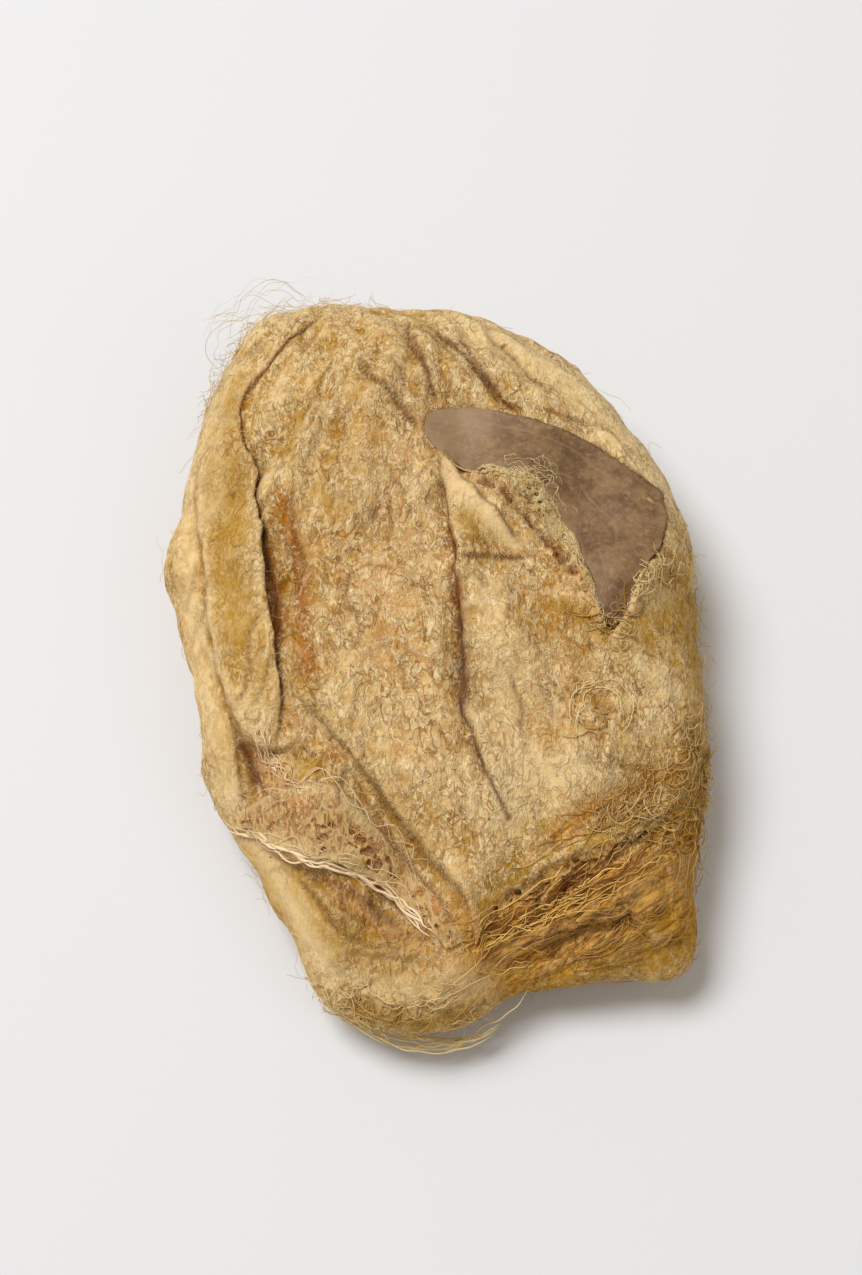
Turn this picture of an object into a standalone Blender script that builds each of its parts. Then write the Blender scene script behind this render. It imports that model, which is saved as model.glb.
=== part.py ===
# A wild-silk cocoon, pressed nearly flat after the moth has left it, lying on its back.
# +X runs across it, +Y towards the closed far end, and -Y towards the frayed mouth.
# The shell is one closed body: a front sheet and a back sheet that meet at the rim.
# A scrap of the dry leaf that it was spun against lies in a shallow pocket of the front.

import bpy
import numpy as np

MM = 0.001

# Driving dimensions, in metres.
LENGTH = 56.0 * MM            # closed end to mouth, pressed flat
WIDTH = 38.8 * MM             # across the widest part, pressed flat
CROWN = 7.4 * MM              # front sheet above the rim, at the middle
BELLY = 5.2 * MM              # back sheet below the rim, at the middle
RIM_HEIGHT = 5.1 * MM         # rim above the surface that it lies on
RIM_RISE = 0.05               # the rim climbs this much per metre towards the far end
RIM_SHARE = 0.5               # share of the crumpling that reaches the rim
MOUTH_THINNING = 0.45         # share of its thickness that it loses at the mouth
FRONT_ROUNDNESS = 3.6         # 2 is an ellipse, and more makes a flatter pillow
BACK_ROUNDNESS = 2.6
ROUNDNESS_SWING = 1.0         # flatter up to the right-hand rim, rounder on the left
RIM_CALM = 14                 # how late, on the way to the rim, the folds die away
RIM_FLUTES = 0.14 * MM        # how deep the small dents of the rim are
FOLD_SOFTNESS = 0.6 * MM      # how quickly a fold steps from one side to the other
FOLD_ENDS = 0.16              # share of a fold's length over which each end fades
SAMPLE_STEP = 0.4 * MM        # spacing of the points that stand for a curve

GRID_CELLS = 220              # cells across each sheet, before thinning
TRIANGLES_KEPT = 8400         # of the shell, once the flatter parts are thinned

REST_SPOT = (7.0 * MM, 11.0 * MM)   # half the size of the flat spot that it lies on
SPOT_EDGE = 0.6               # the spot fades over this share of its size

LEAF_THICKNESS = 0.35 * MM
LEAF_GAP = 0.40 * MM          # clear of the shell under it
LEAF_SUNK = 0.08 * MM         # its top lies this far below the silk round it
POCKET_MARGIN = 1.0 * MM      # the pocket is this much wider than the leaf, all round
LEAF_CELLS_ALONG = 22
LEAF_CELLS_ACROSS = 5

SHELL_COLOUR = (0.52, 0.34, 0.14, 1.0)
LEAF_COLOUR = (0.28, 0.17, 0.08, 1.0)


def mm(*points):
    return np.array(points, float) * MM


# The outline seen from above, anticlockwise from the right-hand side.
OUTLINE = mm(
    (19.0, 0.5), (18.9, 6.5), (17.3, 12.0), (13.6, 18.4), (9.4, 22.8), (4.0, 25.9),
    (-2.0, 27.0), (-8.0, 27.2), (-12.9, 26.2), (-15.7, 22.2), (-17.5, 16.5),
    (-18.6, 10.5), (-19.6, 5.5), (-18.3, 0.5), (-16.7, -5.5), (-15.8, -11.5),
    (-12.7, -16.5), (-9.6, -22.2), (-6.8, -26.8), (-2.4, -28.6), (2.2, -27.9),
    (5.6, -25.8), (11.8, -25.0), (16.4, -24.6), (17.9, -22.2), (18.1, -15.5),
    (19.2, -8.0),
)


def fold(path, left, right, lean=0.0):
    """A fold along a path on the sheet. left and right are (height, reach) in millimetres
    on each hand of someone who walks the path, and lean is how far the left-hand lip
    hangs over the right-hand side."""
    return {
        "path": path,
        "left": (left[0] * MM, left[1] * MM),
        "right": (right[0] * MM, right[1] * MM),
        "lean": lean * MM,
    }


# The flattened wall doubled over along the left, the long creases that fan out from the
# far end, and the torn front layer that ends above the under-lip of the mouth.
TORN_EDGE = mm((2.3, -24.8), (5.3, -21.7), (8.3, -19.6), (11.5, -17.7), (14.4, -15.7),
               (18.6, -12.6))
FRONT_FOLDS = (
    fold(mm((-10.2, -8.2), (-10.5, -4.0), (-11.0, 0.5), (-11.7, 4.4), (-12.4, 8.4),
            (-13.2, 12.4), (-13.9, 15.8), (-13.0, 19.4), (-11.0, 22.6), (-8.1, 25.4)),
         left=(1.0, 3.4), right=(-1.1, 1.1), lean=0.6),                # doubled-over flap
    fold(mm((-10.8, -11.4), (-13.1, -8.8), (-15.0, -3.6), (-15.8, 2.6), (-16.4, 7.5),
            (-16.5, 12.6), (-15.2, 18.6)),
         left=(0.5, 1.2), right=(0.5, 2.0)),                           # ridge down the side
    fold(mm((-10.5, -5.2), (-6.6, -9.4), (-2.9, -14.2), (0.3, -18.1), (2.0, -21.4),
            (2.3, -24.6)),
         left=(0.7, 3.2), right=(-1.2, 1.3), lean=0.3),                # groove to the mouth
    fold(TORN_EDGE, left=(0.7, 3.0), right=(-1.5, 1.1), lean=0.6),     # torn front layer
    fold(TORN_EDGE, left=(0.2, 2.0), right=(-0.9, 6.0)),               # lower lip past it
    fold(mm((0.0, 13.0), (0.9, 7.7), (1.6, 2.6), (2.0, -2.1), (2.2, -5.4), (2.1, -8.4),
            (3.4, -11.6), (5.2, -15.8)),
         left=(0.4, 3.2), right=(-0.9, 1.0), lean=0.2),                # long middle crease
    fold(mm((0.0, 12.4), (2.2, 9.4), (3.9, 6.3), (5.6, 3.2)),
         left=(-0.3, 2.0), right=(0.5, 1.2)),                          # below the leaf
    fold(mm((1.2, 2.8), (4.2, 3.1), (7.4, 3.5)),
         left=(0.3, 0.9), right=(-0.4, 0.7)),                          # short cross crease
    fold(mm((-2.4, 24.6), (-0.9, 19.6), (0.2, 15.2)),
         left=(0.3, 1.8), right=(-0.7, 0.8)),                          # from the far end
    fold(mm((-0.5, 24.4), (2.5, 19.2), (5.2, 16.0), (7.0, 14.2)),
         left=(0.4, 1.6), right=(-0.6, 0.8)),                          # from the far end
    fold(mm((-5.8, 19.8), (-3.7, 16.4), (-0.8, 13.2)),
         left=(0.3, 1.4), right=(-0.4, 0.8)),                          # from the far end
    fold(mm((-11.9, 8.8), (-10.2, 3.8), (-8.8, -1.8), (-7.2, -8.0)),
         left=(-0.7, 1.4), right=(-0.7, 1.4)),                         # trough by the flap
    fold(mm((-10.6, -5.4), (-6.9, -10.0), (-4.6, -13.4)),
         left=(0.3, 0.8), right=(0.5, 1.2)),                           # ridge below the flap
    fold(mm((-13.4, -14.4), (-10.8, -12.9), (-6.7, -13.4), (-3.8, -16.0), (-1.0, -18.9),
            (1.6, -23.2)),
         left=(-0.4, 1.0), right=(0.5, 1.0)),                          # upper edge of the web
    fold(mm((-13.2, -15.0), (-9.3, -17.6), (-4.3, -19.1), (-0.9, -22.0), (0.2, -24.4)),
         left=(0.6, 0.9), right=(-0.7, 1.3)),                          # lower edge of the web
    fold(mm((9.6, 16.8), (13.6, 12.9), (16.9, 6.8)),
         left=(-0.2, 1.2), right=(0.5, 1.6)),                          # by the right-hand rim
    fold(mm((10.6, -2.4), (12.0, -7.4), (11.0, -13.4)),
         left=(0.35, 2.2), right=(-0.35, 1.8)),                        # right of the middle
    fold(mm((-7.8, -22.8), (-4.8, -25.2), (-0.6, -25.8), (3.0, -24.6)),
         left=(0.5, 1.2), right=(0.4, 0.9)),                           # lip of the mouth
)

# The underside is out of sight: it has the same kind of long folds, laid another way.
BACK_FOLDS = (
    fold(mm((12.6, -20.5), (9.8, -14.0), (8.8, -6.0), (5.4, 2.0), (4.8, 11.0), (0.5, 23.5)),
         left=(0.9, 3.0), right=(-0.8, 1.4), lean=0.5),                # doubled-over seam
    fold(mm((-6.0, -22.5), (-9.5, -13.0), (-8.0, -3.0), (-10.5, 6.0), (-9.0, 15.0),
            (-5.5, 23.5)),
         left=(0.5, 2.6), right=(-0.8, 1.0), lean=0.2),
    fold(mm((-17.0, 8.0), (-13.5, 2.5), (-12.8, -4.0), (-8.5, -9.5)),
         left=(-0.7, 1.4), right=(0.4, 2.2)),
    fold(mm((-12.0, -14.5), (-4.0, -17.5), (3.0, -15.5), (9.0, -19.5)),
         left=(0.4, 2.0), right=(-0.7, 1.0)),
    fold(mm((17.2, 9.0), (12.6, 3.0), (13.5, -6.5)),
         left=(-0.6, 1.2), right=(0.5, 1.6)),
)

# Crumpling, as rows of tent-shaped pleats: heading in degrees, spacing, height and start.
PLEATS = (
    (84.0, 13.0 * MM, 0.30 * MM, 0.10),
    (101.0, 8.6 * MM, 0.20 * MM, 0.62),
    (63.0, 11.5 * MM, 0.22 * MM, 0.35),
    (128.0, 7.4 * MM, 0.14 * MM, 0.80),
    (15.0, 10.0 * MM, 0.22 * MM, 0.22),
    (158.0, 6.2 * MM, 0.12 * MM, 0.47),
)
FAN_CENTRE = mm(-3.0, 38.0)   # pleats also fan out from beyond the closed end
FAN_SPACING = 0.16            # radians from one fan pleat to the next
FAN_HEIGHT = 0.20 * MM
FLUTES = (23, 0.4), (38, 2.1)      # dents of the rim: how many go round, and where they start
BACK_START = 0.37             # shifts the underside's pleats, so that it isn't a copy
PLEAT_WANDER = 1.6 * MM       # how far a pleat strays from a straight line
WANDER_LENGTH = 30.0 * MM

# The leaf scrap's middle line on the front, with half its width at each point.
LEAF_PATH = mm((-0.4, 12.8), (2.9, 12.2), (6.7, 11.6), (10.1, 10.0), (12.4, 7.6),
               (13.3, 4.6), (13.2, 0.9), (12.3, -2.4))
LEAF_HALF_WIDTHS = mm(0.8, 1.35, 1.6, 2.1, 2.9, 3.0, 2.3, 0.5)


def smooth_curve(points, closed=False):
    """Points every SAMPLE_STEP or so along a Catmull-Rom curve through the given ones."""
    last = len(points) if closed else len(points) - 1
    found = []
    for i in range(last):
        if closed:
            a, b, c, d = (points[(i + k) % len(points)] for k in (-1, 0, 1, 2))
        else:
            a, b, c, d = (points[min(max(i + k, 0), last)] for k in (-1, 0, 1, 2))
        count = max(2, int(np.linalg.norm(c - b) / SAMPLE_STEP))
        t = (np.arange(count) / count)[:, None]
        found.append(0.5 * (2 * b + (c - a) * t + (2 * a - 5 * b + 4 * c - d) * t ** 2
                            + (3 * b - a - 3 * c + d) * t ** 3))
    if not closed:
        found.append(points[-1:])
    return np.concatenate(found)


def smoothstep(t):
    t = np.clip(t, 0.0, 1.0)
    return t * t * (3 - 2 * t)


def along(curve, places):
    """For each place: its distance to the left of the curve, how far along the curve it
    is (from 0 to 1, and past that beyond the ends), and the curve's direction there."""
    ways = np.gradient(curve, axis=0)
    ways /= np.linalg.norm(ways, axis=1)[:, None]
    run = np.concatenate([[0], np.cumsum(np.linalg.norm(np.diff(curve, axis=0), axis=1))])
    nearest = np.linalg.norm(places[:, None] - curve[None], axis=2).argmin(axis=1)
    way = ways[nearest]
    offset = places - curve[nearest]
    distance = way[:, 0] * offset[:, 1] - way[:, 1] * offset[:, 0]
    share = (run[nearest] + (way * offset).sum(axis=1)) / run[-1]
    return distance, share, way


def add_fold(spec, places, height):
    """The height with one fold added, and how far the fold pushes each place sideways."""
    distance, share, way = along(smooth_curve(spec["path"]), places)
    fade = smoothstep(share / FOLD_ENDS) * smoothstep((1 - share) / FOLD_ENDS)
    on_left = 1 / (1 + np.exp(np.clip(-distance / (FOLD_SOFTNESS / 4), -60, 60)))
    left_height, left_reach = spec["left"]
    right_height, right_reach = spec["right"]
    rise = on_left * left_height * np.exp(-np.maximum(distance, 0) / left_reach)
    rise += (1 - on_left) * right_height * np.exp(-np.maximum(-distance, 0) / right_reach)
    push = spec["lean"] * fade * on_left * np.exp(-np.maximum(distance, 0) / left_reach)
    return height + fade * rise, np.stack([way[:, 1], -way[:, 0]], axis=1) * push[:, None]


def tent(turns):
    """A row of tents, from -1 in the valleys to 1 on the ridges."""
    return 4 * np.abs(turns - np.floor(turns + 0.5)) - 1


def pleats(places, start):
    """Crumpling at each place, as the sum of rows of tent-shaped pleats that wander."""
    x, y = places.T * (2 * np.pi / WANDER_LENGTH)
    wander = PLEAT_WANDER * np.stack([np.sin(y + 1.3) + 0.5 * np.sin(2.3 * y - 1.4 * x),
                                      np.sin(1.2 * x + 0.4) + 0.5 * np.sin(1.9 * x + y)], axis=1)
    placed = places + wander
    out = placed - FAN_CENTRE
    total = FAN_HEIGHT * tent(np.arctan2(out[:, 0], -out[:, 1]) / FAN_SPACING + start)
    for heading, spacing, size, first in PLEATS:
        across = np.array([np.sin(np.radians(heading)), -np.cos(np.radians(heading))])
        total += size * tent(placed @ across / spacing + first + start)
    return total


def outline_radius(angle):
    """How far the rim is from the middle in each direction."""
    rim = smooth_curve(OUTLINE, closed=True)
    low, high = rim.min(axis=0), rim.max(axis=0)
    rim *= np.array([WIDTH, LENGTH]) / (high - low)
    angles = np.arctan2(rim[:, 1], rim[:, 0])
    order = angles.argsort()
    return np.interp(angle, angles[order], np.linalg.norm(rim, axis=1)[order],
                     period=2 * np.pi)


def even_radius(share):
    """Spreads rings of points evenly over the pillow's section, and not over its plan."""
    radius = np.linspace(0, 1, 400)
    height = CROWN / (WIDTH / 2) * np.sqrt(1 - radius ** FRONT_ROUNDNESS)
    steps = np.hypot(np.diff(radius), np.diff(height))
    length = np.concatenate([[0], np.cumsum(steps)])
    return np.interp(share, length / length[-1], radius)


def disc_grid(cells):
    """A square grid of points laid onto a disc: each point's radius, from 0 to 1, and angle."""
    a, b = np.meshgrid(np.linspace(-1, 1, cells + 1), np.linspace(-1, 1, cells + 1))
    wide = np.abs(a) > np.abs(b)
    radius = np.maximum(np.abs(a), np.abs(b))
    quarter = np.pi / 4
    with np.errstate(divide="ignore", invalid="ignore"):
        angle = np.where(wide, quarter * b / a, 2 * quarter - quarter * a / b)
    angle = np.nan_to_num(angle)
    angle += np.where(np.where(wide, a, b) < 0, np.pi, 0)
    return radius.ravel(), angle.ravel()


def rim_height(places):
    wave = RIM_SHARE * pleats(places, BACK_START / 2)
    return RIM_HEIGHT + RIM_RISE * places[:, 1] + wave


def pillow(radius, places, roundness):
    """The rounded section of a sheet, from 1 in the middle to 0 at the rim."""
    turn = places[:, 0] / np.maximum(np.linalg.norm(places, axis=1), SAMPLE_STEP)
    section = np.sqrt(1 - radius ** (roundness + ROUNDNESS_SWING * turn))
    return section * (1 - MOUTH_THINNING * smoothstep(-2 * places[:, 1] / LENGTH))


def relief(places, folds, start):
    """Folds and crumpling of a sheet at each place: the height and the sideways push."""
    height = pleats(places, start)
    push = np.zeros_like(places)
    for spec in folds:
        height, sideways = add_fold(spec, places, height)
        push += sideways
    return height, push


def leaf_half_width(share):
    return np.interp(share, np.linspace(0, 1, len(LEAF_HALF_WIDTHS)), LEAF_HALF_WIDTHS)


def leaf_depth(places):
    """How deep the leaf's pocket is at each place of the front."""
    middle = smooth_curve(LEAF_PATH)
    distance, share, _ = along(middle, places)
    past_end = (share - np.clip(share, 0, 1)) * SAMPLE_STEP * len(middle)
    inside = leaf_half_width(share) + POCKET_MARGIN - np.hypot(distance, past_end)
    pocket = LEAF_SUNK + LEAF_THICKNESS + LEAF_GAP
    return pocket * smoothstep(inside / POCKET_MARGIN)


def front_point(radius, places, with_pocket=True):
    """Points of the front sheet over the given places of the plan."""
    calm = 1 - radius ** RIM_CALM
    rise, push = relief(places, FRONT_FOLDS, 0.0)
    height = rim_height(places) + CROWN * pillow(radius, places, FRONT_ROUNDNESS)
    height += rise * calm
    if with_pocket:
        height -= leaf_depth(places)
    return np.column_stack([places + push * calm[:, None], height])


def back_point(radius, places):
    """Points of the back sheet, pressed flat where it rests."""
    calm = 1 - radius ** RIM_CALM
    spot = smoothstep((np.linalg.norm(places / REST_SPOT, axis=1) - 1) / SPOT_EDGE)
    rise, push = relief(places, BACK_FOLDS, BACK_START)
    height = rim_height(places) - BELLY * pillow(radius, places, BACK_ROUNDNESS)
    height -= rise * calm
    height = np.maximum(height * spot, 0.0)
    return np.column_stack([places + push * (calm * spot)[:, None], height])


def quads(rows):
    """The faces of a grid of vertex numbers."""
    return np.stack([rows[:-1, :-1], rows[:-1, 1:], rows[1:, 1:], rows[1:, :-1]],
                    axis=-1).reshape(-1, 4)


def material(name, colour, roughness):
    made = bpy.data.materials.new(name)
    made.use_nodes = True
    shader = made.node_tree.nodes["Principled BSDF"]
    shader.inputs["Base Color"].default_value = colour
    shader.inputs["Roughness"].default_value = roughness
    shader.inputs["Metallic"].default_value = 0.0
    return made


def add_object(name, points, faces, finish):
    mesh = bpy.data.meshes.new(name)
    mesh.from_pydata(points.tolist(), [], faces.tolist())
    mesh.materials.append(finish)
    mesh.update()
    mesh.shade_smooth()
    made = bpy.data.objects.new(name, mesh)
    bpy.context.scene.collection.objects.link(made)
    return made


def shell_mesh():
    share, angle = disc_grid(GRID_CELLS)
    radius = even_radius(share)
    reach = radius * outline_radius(angle)
    for count, start in FLUTES:
        dent = tent((count * angle + np.sin(3 * angle + start)) / (2 * np.pi))
        reach += 0.5 * RIM_FLUTES * dent * radius ** RIM_CALM
    places = np.column_stack([np.cos(angle), np.sin(angle)]) * reach[:, None]
    front = front_point(radius, places)
    back = back_point(radius, places)
    side = GRID_CELLS + 1
    front_rows = np.arange(side * side).reshape(side, side)
    inner = np.zeros((side, side), bool)
    inner[1:-1, 1:-1] = True
    back_rows = front_rows.copy()
    back_rows[inner] = side * side + np.arange(inner.sum())
    points = np.concatenate([front, back[inner.ravel()]])
    faces = np.concatenate([quads(front_rows), quads(back_rows)[:, ::-1]])
    return points, faces


def leaf_mesh():
    """A thin plate that follows the front sheet as it would be without its pocket."""
    middle = smooth_curve(LEAF_PATH)
    ways = np.gradient(middle, axis=0)
    ways /= np.linalg.norm(ways, axis=1)[:, None]
    stations = np.linspace(0, len(middle) - 1, LEAF_CELLS_ALONG + 1).round().astype(int)
    half_width = leaf_half_width(stations / (len(middle) - 1))
    across = np.linspace(-1, 1, LEAF_CELLS_ACROSS + 1)
    beside = np.column_stack([-ways[:, 1], ways[:, 0]])[stations]
    places = (middle[stations][:, None]
              + beside[:, None] * (half_width[:, None] * across)[..., None]).reshape(-1, 2)
    angle = np.arctan2(places[:, 1], places[:, 0])
    radius = np.linalg.norm(places, axis=1) / outline_radius(angle)
    surface = front_point(radius, places, with_pocket=False)
    top = surface - [0, 0, LEAF_SUNK]
    bottom = top - [0, 0, LEAF_THICKNESS]
    rows = np.arange(len(places)).reshape(LEAF_CELLS_ALONG + 1, LEAF_CELLS_ACROSS + 1)
    under = rows + len(places)
    ring = np.concatenate([rows[0, :-1], rows[:-1, -1], rows[-1, :0:-1], rows[:0:-1, 0]])
    following = np.roll(ring, -1)
    walls = np.stack([ring, following, following + len(places), ring + len(places)], axis=1)
    faces = np.concatenate([quads(rows)[:, ::-1], quads(under), walls])
    return np.concatenate([top, bottom]), faces


def main():
    for old in list(bpy.data.objects):
        bpy.data.objects.remove(old)
    shell_points, shell_faces = shell_mesh()
    leaf_points, leaf_faces = leaf_mesh()
    middle = (shell_points.min(axis=0) + shell_points.max(axis=0)) / 2
    middle[2] = shell_points[:, 2].min()
    shell = add_object("cocoon_shell", shell_points - middle, shell_faces,
                       material("matted_wild_silk", SHELL_COLOUR, 0.85))
    thinned = shell.modifiers.new("fewer_faces_where_flat", "DECIMATE")
    thinned.ratio = TRIANGLES_KEPT / (2 * len(shell_faces))
    thinned.use_collapse_triangulate = True
    add_object("leaf_scrap", leaf_points - middle, leaf_faces,
               material("dry_leaf", LEAF_COLOUR, 0.6))


main()
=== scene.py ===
# A crushed wild-silk cocoon lying on its back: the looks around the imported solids.
# +X runs across it, +Y towards the closed end, -Y towards the frayed mouth.

from functools import partial

import bpy
import numpy as np
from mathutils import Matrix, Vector
from mathutils.bvhtree import BVHTree


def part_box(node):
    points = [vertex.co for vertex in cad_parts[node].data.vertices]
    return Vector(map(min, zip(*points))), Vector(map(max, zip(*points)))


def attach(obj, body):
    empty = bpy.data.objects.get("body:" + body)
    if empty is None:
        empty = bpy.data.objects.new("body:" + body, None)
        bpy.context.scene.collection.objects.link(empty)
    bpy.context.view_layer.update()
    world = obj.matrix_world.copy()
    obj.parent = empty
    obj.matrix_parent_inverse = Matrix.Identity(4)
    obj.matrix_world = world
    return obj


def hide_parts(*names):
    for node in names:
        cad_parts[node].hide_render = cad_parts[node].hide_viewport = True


mm = 0.001
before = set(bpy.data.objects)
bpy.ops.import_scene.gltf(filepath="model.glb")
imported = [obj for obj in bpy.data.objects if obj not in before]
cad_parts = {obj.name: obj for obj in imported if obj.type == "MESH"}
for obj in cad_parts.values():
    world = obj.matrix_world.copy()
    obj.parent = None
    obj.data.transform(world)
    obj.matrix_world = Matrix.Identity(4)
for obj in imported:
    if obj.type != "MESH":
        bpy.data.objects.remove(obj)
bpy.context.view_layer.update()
print("frame loaded")


# small tools

def linearColour(hexText):
    channels = [int(hexText[i:i + 2], 16) / 255 for i in (1, 3, 5)]
    return [c / 12.92 if c <= 0.04045 else ((c + 0.055) / 1.055) ** 2.4 for c in channels] + [1.0]


# short names for the kinds of node that come up most, with their settings
nodeKinds = {
    "noise": ("ShaderNodeTexNoise", {}), "attribute": ("ShaderNodeAttribute", {}),
    "mix": ("ShaderNodeMix", {"data_type": "RGBA"}),
    "range": ("ShaderNodeMapRange", {}),
    "softRange": ("ShaderNodeMapRange", {"interpolation_type": "SMOOTHSTEP"}),
    "named": ("GeometryNodeInputNamedAttribute", {"data_type": "FLOAT"}),
    "store": ("GeometryNodeStoreNamedAttribute", {"data_type": "FLOAT"}),
    "storeVector": ("GeometryNodeStoreNamedAttribute", {"data_type": "FLOAT_VECTOR"}),
    "setPlace": ("GeometryNodeSetPosition", {}),
}
for kind, operation in (("plus", "ADD"), ("minus", "SUBTRACT"), ("times", "MULTIPLY"),
                        ("over", "DIVIDE"), ("timesPlus", "MULTIPLY_ADD"), ("power", "POWER"),
                        ("larger", "MAXIMUM"), ("absolute", "ABSOLUTE")):
    nodeKinds[kind] = ("ShaderNodeMath", {"operation": operation})
for kind, operation in (("vectorPlus", "ADD"), ("vectorMinus", "SUBTRACT"),
                        ("vectorTimesPlus", "MULTIPLY_ADD"), ("vectorScale", "SCALE")):
    nodeKinds[kind] = ("ShaderNodeVectorMath", {"operation": operation})


def feed(node, feeds):
    # feeds: in the order of the sockets, or by their names or numbers; each one is a node
    # (its first output), an output socket or a value
    for key, value in feeds.items() if isinstance(feeds, dict) else enumerate(feeds):
        if isinstance(value, bpy.types.Node):
            value = value.outputs[0]
        if isinstance(value, bpy.types.NodeSocket):
            node.id_data.links.new(value, node.inputs[key])
        else:
            node.inputs[key].default_value = value


def addNode(tree, kind, feeds=(), **settings):
    kind, usual = nodeKinds.get(kind, (kind, {}))
    node = tree.nodes.new(kind)
    for name, value in {**usual, **settings}.items():
        setattr(node, name, value)
    feed(node, feeds)
    return node


def newGroup(name, kind, inputs):
    # a node group with those inputs and one output, which is of the first input's kind
    tree = bpy.data.node_groups.new(name, kind)
    first = next(iter(inputs))
    for label, socket in inputs.items():
        tree.interface.new_socket(label, in_out="INPUT", socket_type="NodeSocket" + socket)
    tree.interface.new_socket(first, in_out="OUTPUT", socket_type="NodeSocket" + inputs[first])
    return tree, partial(addNode, tree), tree.nodes.new("NodeGroupInput").outputs


def newMaterial(name, constants):
    made = bpy.data.materials.new(name)
    made.use_nodes = True
    shader = made.node_tree.nodes["Principled BSDF"]
    feed(shader, constants)
    return made, partial(addNode, made.node_tree), shader


def inMm(points):
    return np.array(points, float) * mm


def smoothCurve(points, closed=False, step=0.3 * mm):
    last = len(points) if closed else len(points) - 1
    found = []
    for i in range(last):
        if closed:
            a, b, c, d = (points[(i + k) % len(points)] for k in (-1, 0, 1, 2))
        else:
            a, b, c, d = (points[min(max(i + k, 0), last)] for k in (-1, 0, 1, 2))
        count = max(2, int(np.linalg.norm(c - b) / step))
        t = (np.arange(count) / count)[:, None]
        found.append(0.5 * (2 * b + (c - a) * t + (2 * a - 5 * b + 4 * c - d) * t ** 2
                            + (3 * b - a - 3 * c + d) * t ** 3))
    if not closed:
        found.append(points[-1:])
    return np.concatenate(found)


def lengthAlong(curve):
    # the way walked along the curve, at each of its points
    return np.concatenate([[0], np.cumsum(np.linalg.norm(np.diff(curve, axis=0), axis=1))])


def placedAt(at, run, curve):
    return np.column_stack([np.interp(at, run, column) for column in curve.T])


def evenly(curve, count):
    run = lengthAlong(curve)
    return placedAt(np.linspace(0, run[-1], count), run, curve)


def directions(curve):
    ways = np.gradient(curve, axis=0)
    return ways / np.linalg.norm(ways, axis=1)[:, None]


def smoothStep(t):
    t = np.clip(t, 0.0, 1.0)
    return t * t * (3 - 2 * t)


def along(curve, places):
    # distance to the left of the curve, share of its length, its direction there, its length
    ways, run = directions(curve), lengthAlong(curve)
    apart = (curve ** 2).sum(axis=1) - 2 * places @ curve.T
    nearest = apart.argmin(axis=1)
    way = ways[nearest]
    offset = places - curve[nearest]
    distance = way[:, 0] * offset[:, 1] - way[:, 1] * offset[:, 0]
    share = (run[nearest] + (way * offset).sum(axis=1)) / run[-1]
    return distance, share, way, run[-1]


def softNoise(places, spacing, seed):
    # smooth random heights from -1 to 1, on a lattice of that spacing
    table = np.random.default_rng(seed).uniform(-1, 1, (64, 64))
    q = places / spacing
    cell = np.floor(q).astype(int)
    f = smoothStep(q - cell)
    i, j = cell[:, 0] % 64, cell[:, 1] % 64
    k, m = (i + 1) % 64, (j + 1) % 64
    low = table[i, j] * (1 - f[:, 0]) + table[k, j] * f[:, 0]
    high = table[i, m] * (1 - f[:, 0]) + table[k, m] * f[:, 0]
    return low * (1 - f[:, 1]) + high * f[:, 1]


def softStray(places, spacing, seed, apart=1):
    # smooth random offsets in x and y, from -1 to 1
    return np.stack([softNoise(places, spacing, seed),
                     softNoise(places, spacing, seed + apart)], axis=1)


def smoothed(grid, rounds, own=0):
    # each cell becomes the mean of its four neighbours and of itself, counted own times
    for _ in range(rounds):
        padded = np.pad(grid, 1, mode="edge")
        grid = (padded[:-2, 1:-1] + padded[2:, 1:-1] + padded[1:-1, :-2]
                + padded[1:-1, 2:] + own * grid) / (4 + own)
    return grid


def quads(grid):
    # the four corners of each cell in a grid of point numbers
    return np.stack([grid[:-1, :-1], grid[:-1, 1:], grid[1:, 1:], grid[1:, :-1]],
                    axis=-1).reshape(-1, 4)


# the silk shell: the same named values as the solid, with sharper folds and finer cells

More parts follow.
